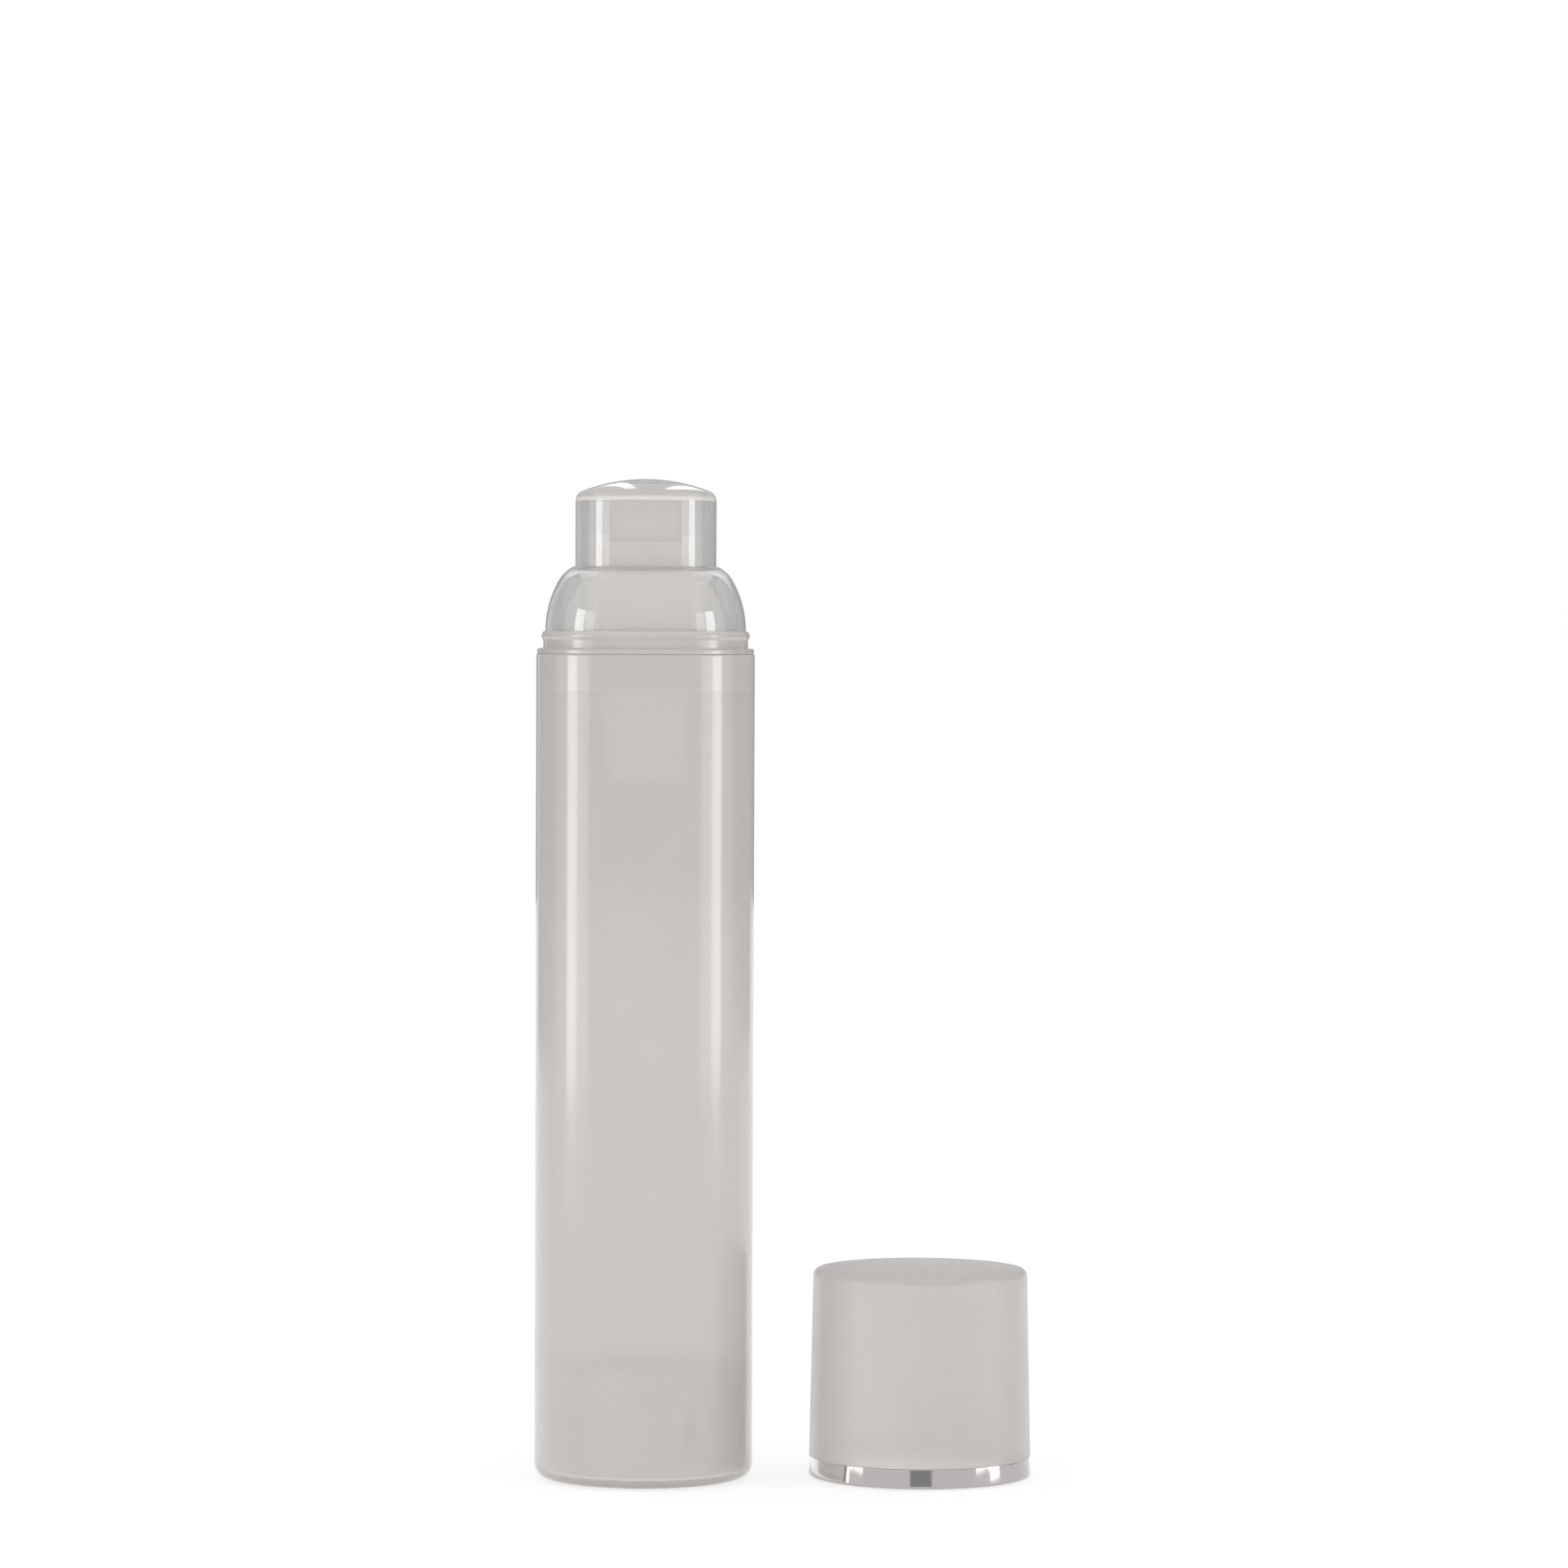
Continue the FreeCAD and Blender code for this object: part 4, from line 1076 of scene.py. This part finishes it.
def hung(name: str, place: Vector, aim: Vector, size: tuple[float, float], energy: float) -> bpy.types.Object:
    """Hang an area lamp that neither the camera nor clear pieces see.

    Args:
        name: What it is called.
        place: Where it hangs.
        aim: The point that it faces.
        size: Its width and height.
        energy: Its power.

    Returns:
        The lamp.
    """
    lamp = bpy.data.lights.new(name, "AREA")
    lamp.shape = "RECTANGLE"
    lamp.size, lamp.size_y = size
    lamp.energy = energy
    holder = bpy.data.objects.new(name, lamp)
    holder.location = place
    holder.rotation_euler = (aim - place).to_track_quat("-Z", "Y").to_euler()
    holder.visible_camera = False
    holder.visible_transmission = False
    bpy.context.scene.collection.objects.link(holder)
    return holder


@dataclass(frozen=True)
class Softbox:
    """Lamp that is aimed at a point and shows in gloss alone, on every piece or on some."""

    name: str
    place: Vector
    aim: Vector
    width: float
    height: float
    radiance: float
    only: tuple[str, ...] = ()

    def build(self) -> None:
        """Hang the lamp."""
        energy = self.radiance * math.pi * self.width * self.height
        lamp = hung(self.name, self.place, self.aim, (self.width, self.height), energy)
        lamp.visible_diffuse = False
        if self.only:
            lamp.light_linking.receiver_collection = gathered(f"{self.name}_lit", self.only)


def stage_object(name: str, shape: bmesh.types.BMesh) -> bpy.types.Object:
    """Make a stage object, which is no part of the bottle, with a material that isn't sampled as a lamp.

    Args:
        name: What it is called.
        shape: Its shape, which is used up.

    Returns:
        The object.
    """
    mesh = bpy.data.meshes.new(name)
    shape.to_mesh(mesh)
    shape.free()
    material = bpy.data.materials.new(f"stage_{name}")
    material.use_nodes = True
    material.cycles.emission_sampling = "NONE"
    mesh.materials.append(material)
    thing = bpy.data.objects.new(name, mesh)
    bpy.context.scene.collection.objects.link(thing)
    return thing


@dataclass(frozen=True)
class Card:
    """Grey card beside the set, which shows in gloss and, unless that is off, through clear pieces."""

    name: str
    place: Vector
    aim: Vector
    width: float
    height: float
    shade: float
    through: bool = True

    def build(self) -> None:
        """Stand the card up, facing its aim."""
        shape = bmesh.new()
        turn = (self.aim - self.place).to_track_quat("Z", "Y").to_matrix().to_4x4()
        seat = Matrix.Translation(self.place) @ turn @ Matrix.Diagonal((self.width, self.height, 1.0, 1.0))
        bmesh.ops.create_grid(shape, x_segments=1, y_segments=1, size=0.5, matrix=seat)
        card = stage_object(self.name, shape)
        graph = Graph(card.data.materials[0].node_tree)
        graph.surface(graph.node("ShaderNodeEmission", None, {"Color": (self.shade, self.shade, self.shade, 1.0)}))
        card.visible_camera = False
        card.visible_diffuse = False
        card.visible_shadow = False
        card.visible_transmission = self.through


@dataclass
class Studio:
    """Pale floor, white background, lamps, cards and the camera."""

    camera_place: Vector = Vector((23.51, -1056.4, 147.6)) * MM
    lens: float = 143.2
    sensor: float = 36.0
    pitch: float = math.radians(-1.625)
    roll: float = math.radians(0.218)
    floor_level: float = -0.3 * MM
    floor_size: float = 60.0
    floor_glow: float = 0.75
    fill: float = 0.92
    front_fill: float = 0.22
    top_fill: float = 0.26
    cap_fill: float = 0.5
    cap_fill_size: float = 0.2
    cap_fill_place: Vector = CAP_AXIS + Vector((-400.0, -30.0, 60.0)) * MM
    clip_start: float = 10.0 * MM
    bounces: int = 24
    diffuse_bounces: int = 10
    strip_bearing: float = 81.0
    spill_bearing: float = 67.0
    strip_distance: float = 0.6
    strip_level: float = 0.175
    strip_height: float = 0.31
    card_bearing: float = 128.0
    card_level: float = 0.45
    band_level: float = 4.0 * MM

    def build(self) -> None:
        """Set up everything that isn't part of the object."""
        scene = bpy.context.scene
        scene.view_settings.view_transform = "Standard"
        scene.cycles.max_bounces = self.bounces
        scene.cycles.diffuse_bounces = self.diffuse_bounces
        scene.cycles.transmission_bounces = self.bounces
        scene.cycles.blur_glossy = 0.0
        self.build_camera()
        self.build_world()
        self.build_floor()
        self.build_lamps()
        self.build_cap_fill()
        self.build_band_lamps()
        self.build_cards()

    def build_lamps(self) -> None:
        """Hang the strips for the long highlights, a dim lamp beside each and the lamps for the crown's patches."""
        middle = self.around(0.0, 0.0, self.strip_level)
        for side, name in SIDES:
            strip = self.around(self.strip_bearing * side, self.strip_distance, self.strip_level)
            Softbox(f"strip_{name}", strip, middle, width=0.14, height=self.strip_height, radiance=4.0).build()
            spill = self.around(self.spill_bearing * side, self.strip_distance, self.strip_level)
            Softbox(f"spill_{name}", spill, middle, width=0.13, height=self.strip_height, radiance=1.35).build()
            patch = Vector((60.0 * side, 600.0, 490.0)) * MM
            Softbox(f"patch_{name}", patch, HEAD_TOP, width=0.03, height=0.25, radiance=1.15).build()

    def build_cap_fill(self) -> None:
        """Light the cap's side towards the bottle, which the bottle shades."""
        size = (self.cap_fill_size, self.cap_fill_size)
        lamp = hung("cap_fill", self.cap_fill_place, CAP_AXIS, size, self.cap_fill)
        lamp.visible_glossy = False
        lit = gathered("cap_fill_lit", ("overcap_shell", "mouth_band"))
        lamp.light_linking.receiver_collection = lit
        lamp.light_linking.blocker_collection = lit

    def build_band_lamps(self) -> None:
        """Stand small lamps round the cap that only its bright band mirrors."""
        band = ("mouth_band",)
        right = Vector((164.06, -21.55, 8.0)) * MM
        aim = Vector((67.03, 2.64, 3.0)) * MM
        Softbox("streak_right", right, aim, width=0.026, height=0.015, radiance=1.8, only=band).build()
        left = Vector((19.0, -13.9, 3.0)) * MM
        aim = Vector((34.8, -11.7, 3.0)) * MM
        Softbox("streak_left", left, aim, width=0.0016, height=0.006, radiance=1.6, only=band).build()
        gap = Vector((22.5, 7.25, 4.0)) * MM
        aim = Vector((47.0, 7.25, 4.0)) * MM
        Softbox("band_side", gap, aim, width=0.0375, height=0.008, radiance=0.48, only=band).build()

    def build_cards(self) -> None:
        """Stand up the cards that shade the edges of the clear pieces and the middle of the band."""
        middle = self.around(0.0, 0.0, self.card_level)
        for side, name in SIDES:
            place = self.around(self.card_bearing * side, 1.0, self.card_level)
            Card(f"card_{name}", place, middle, width=0.8, height=0.9, shade=0.42).build()
        over = self.around(bearing=180.0, distance=0.8, height=0.75)
        head = self.around(0.0, 0.0, HEAD_TOP.z)
        Card("card_over", over, head, width=1.2, height=0.9, shade=0.6, through=False).build()
        band = CAP_AXIS + Vector((0.0, 0.0, self.band_level))
        low = band + Vector((0.0, -50.0, 0.0)) * MM
        Card("card_low", low, band, width=0.016, height=0.007, shade=0.4, through=False).build()
        behind = self.around(bearing=180.0, distance=0.35, height=0.16)
        Card("card_behind", behind, self.around(0.0, 0.0, behind.z), width=0.4, height=0.16, shade=0.36).build()

    @staticmethod
    def around(bearing: float, distance: float, height: float) -> Vector:
        """Point beside the set.

        Args:
            bearing: Degrees from the way to the camera, to the right above zero.
            distance: Distance from the middle of the set.
            height: Height over the table.

        Returns:
            The point.
        """
        angle = math.radians(bearing)
        return Vector((SET_MIDDLE + distance * math.sin(angle), -distance * math.cos(angle), height))

    def build_camera(self) -> None:
        """Put the camera where the photograph was taken from."""
        camera = bpy.data.cameras.new("camera")
        camera.lens = self.lens
        camera.sensor_fit = "HORIZONTAL"
        camera.sensor_width = self.sensor
        camera.clip_start = self.clip_start
        holder = bpy.data.objects.new("camera", camera)
        turn = Matrix.Rotation(QUARTER + self.pitch, 4, "X") @ Matrix.Rotation(self.roll, 4, "Z")
        holder.matrix_world = Matrix.Translation(self.camera_place) @ turn
        bpy.context.scene.collection.objects.link(holder)
        bpy.context.scene.camera = holder

    @staticmethod
    def seen(graph: Graph) -> Wire:
        """One where the camera, metal or clear pieces look, and zero elsewhere."""
        path = graph.node("ShaderNodeLightPath")
        seen = graph.math("MAXIMUM", graph.out(path, "Is Camera Ray"), graph.out(path, "Is Glossy Ray"))
        return graph.math("MAXIMUM", seen, graph.out(path, "Is Transmission Ray"))

    def build_world(self) -> None:
        """Light everything, most of all from the front, and show white to the camera, metal and clear pieces."""
        world = bpy.data.worlds.new("studio")
        world.use_nodes = True
        bpy.context.scene.world = world
        graph = Graph(world.node_tree)
        way = graph.out(graph.node("ShaderNodeTexCoord"), "Generated")
        parts = graph.node("ShaderNodeSeparateXYZ", None, {"Vector": way})
        level = self.fill - self.front_fill * graph.out(parts, "Y") + self.top_fill * graph.out(parts, "Z")
        fill = graph.node("ShaderNodeBackground", None, {"Color": WHITE, "Strength": level})
        white = graph.node("ShaderNodeBackground", None, {"Color": WHITE, "Strength": 1.0})
        mixed = graph.node(
            "ShaderNodeMixShader", None, {0: self.seen(graph), 1: graph.out(fill), 2: graph.out(white)}
        )
        graph.node("ShaderNodeOutputWorld", None, {"Surface": graph.out(mixed)})

    def build_floor(self) -> None:
        """Lay a wide white floor that keeps the object's shadow."""
        shape = bmesh.new()
        bmesh.ops.create_grid(shape, x_segments=1, y_segments=1, size=self.floor_size / 2.0)
        bmesh.ops.translate(shape, verts=shape.verts, vec=(0.0, 0.0, self.floor_level))
        floor = stage_object("floor", shape)
        graph = Graph(floor.data.materials[0].node_tree)
        paper = graph.node("ShaderNodeBsdfDiffuse", None, {"Color": WHITE})
        glow = graph.node("ShaderNodeEmission", None, {"Color": WHITE, "Strength": 1.0})
        graph.surface(graph.node(
            "ShaderNodeMixShader", None,
            {0: self.floor_glow * self.seen(graph), 1: graph.out(paper), 2: graph.out(glow)},
        ))


def main() -> None:
    """Build the pieces in order, dress the nodes and set up the studio."""
    for assembly in (BottleShell(), Collar(), PressHead(), Follower(), ReturnSpring(), Overcap()):
        assembly.build()
    dress_nodes()
    Studio().build()


if __name__ == "__main__":
    logging.basicConfig(level=logging.INFO, format="%(message)s")
    main()
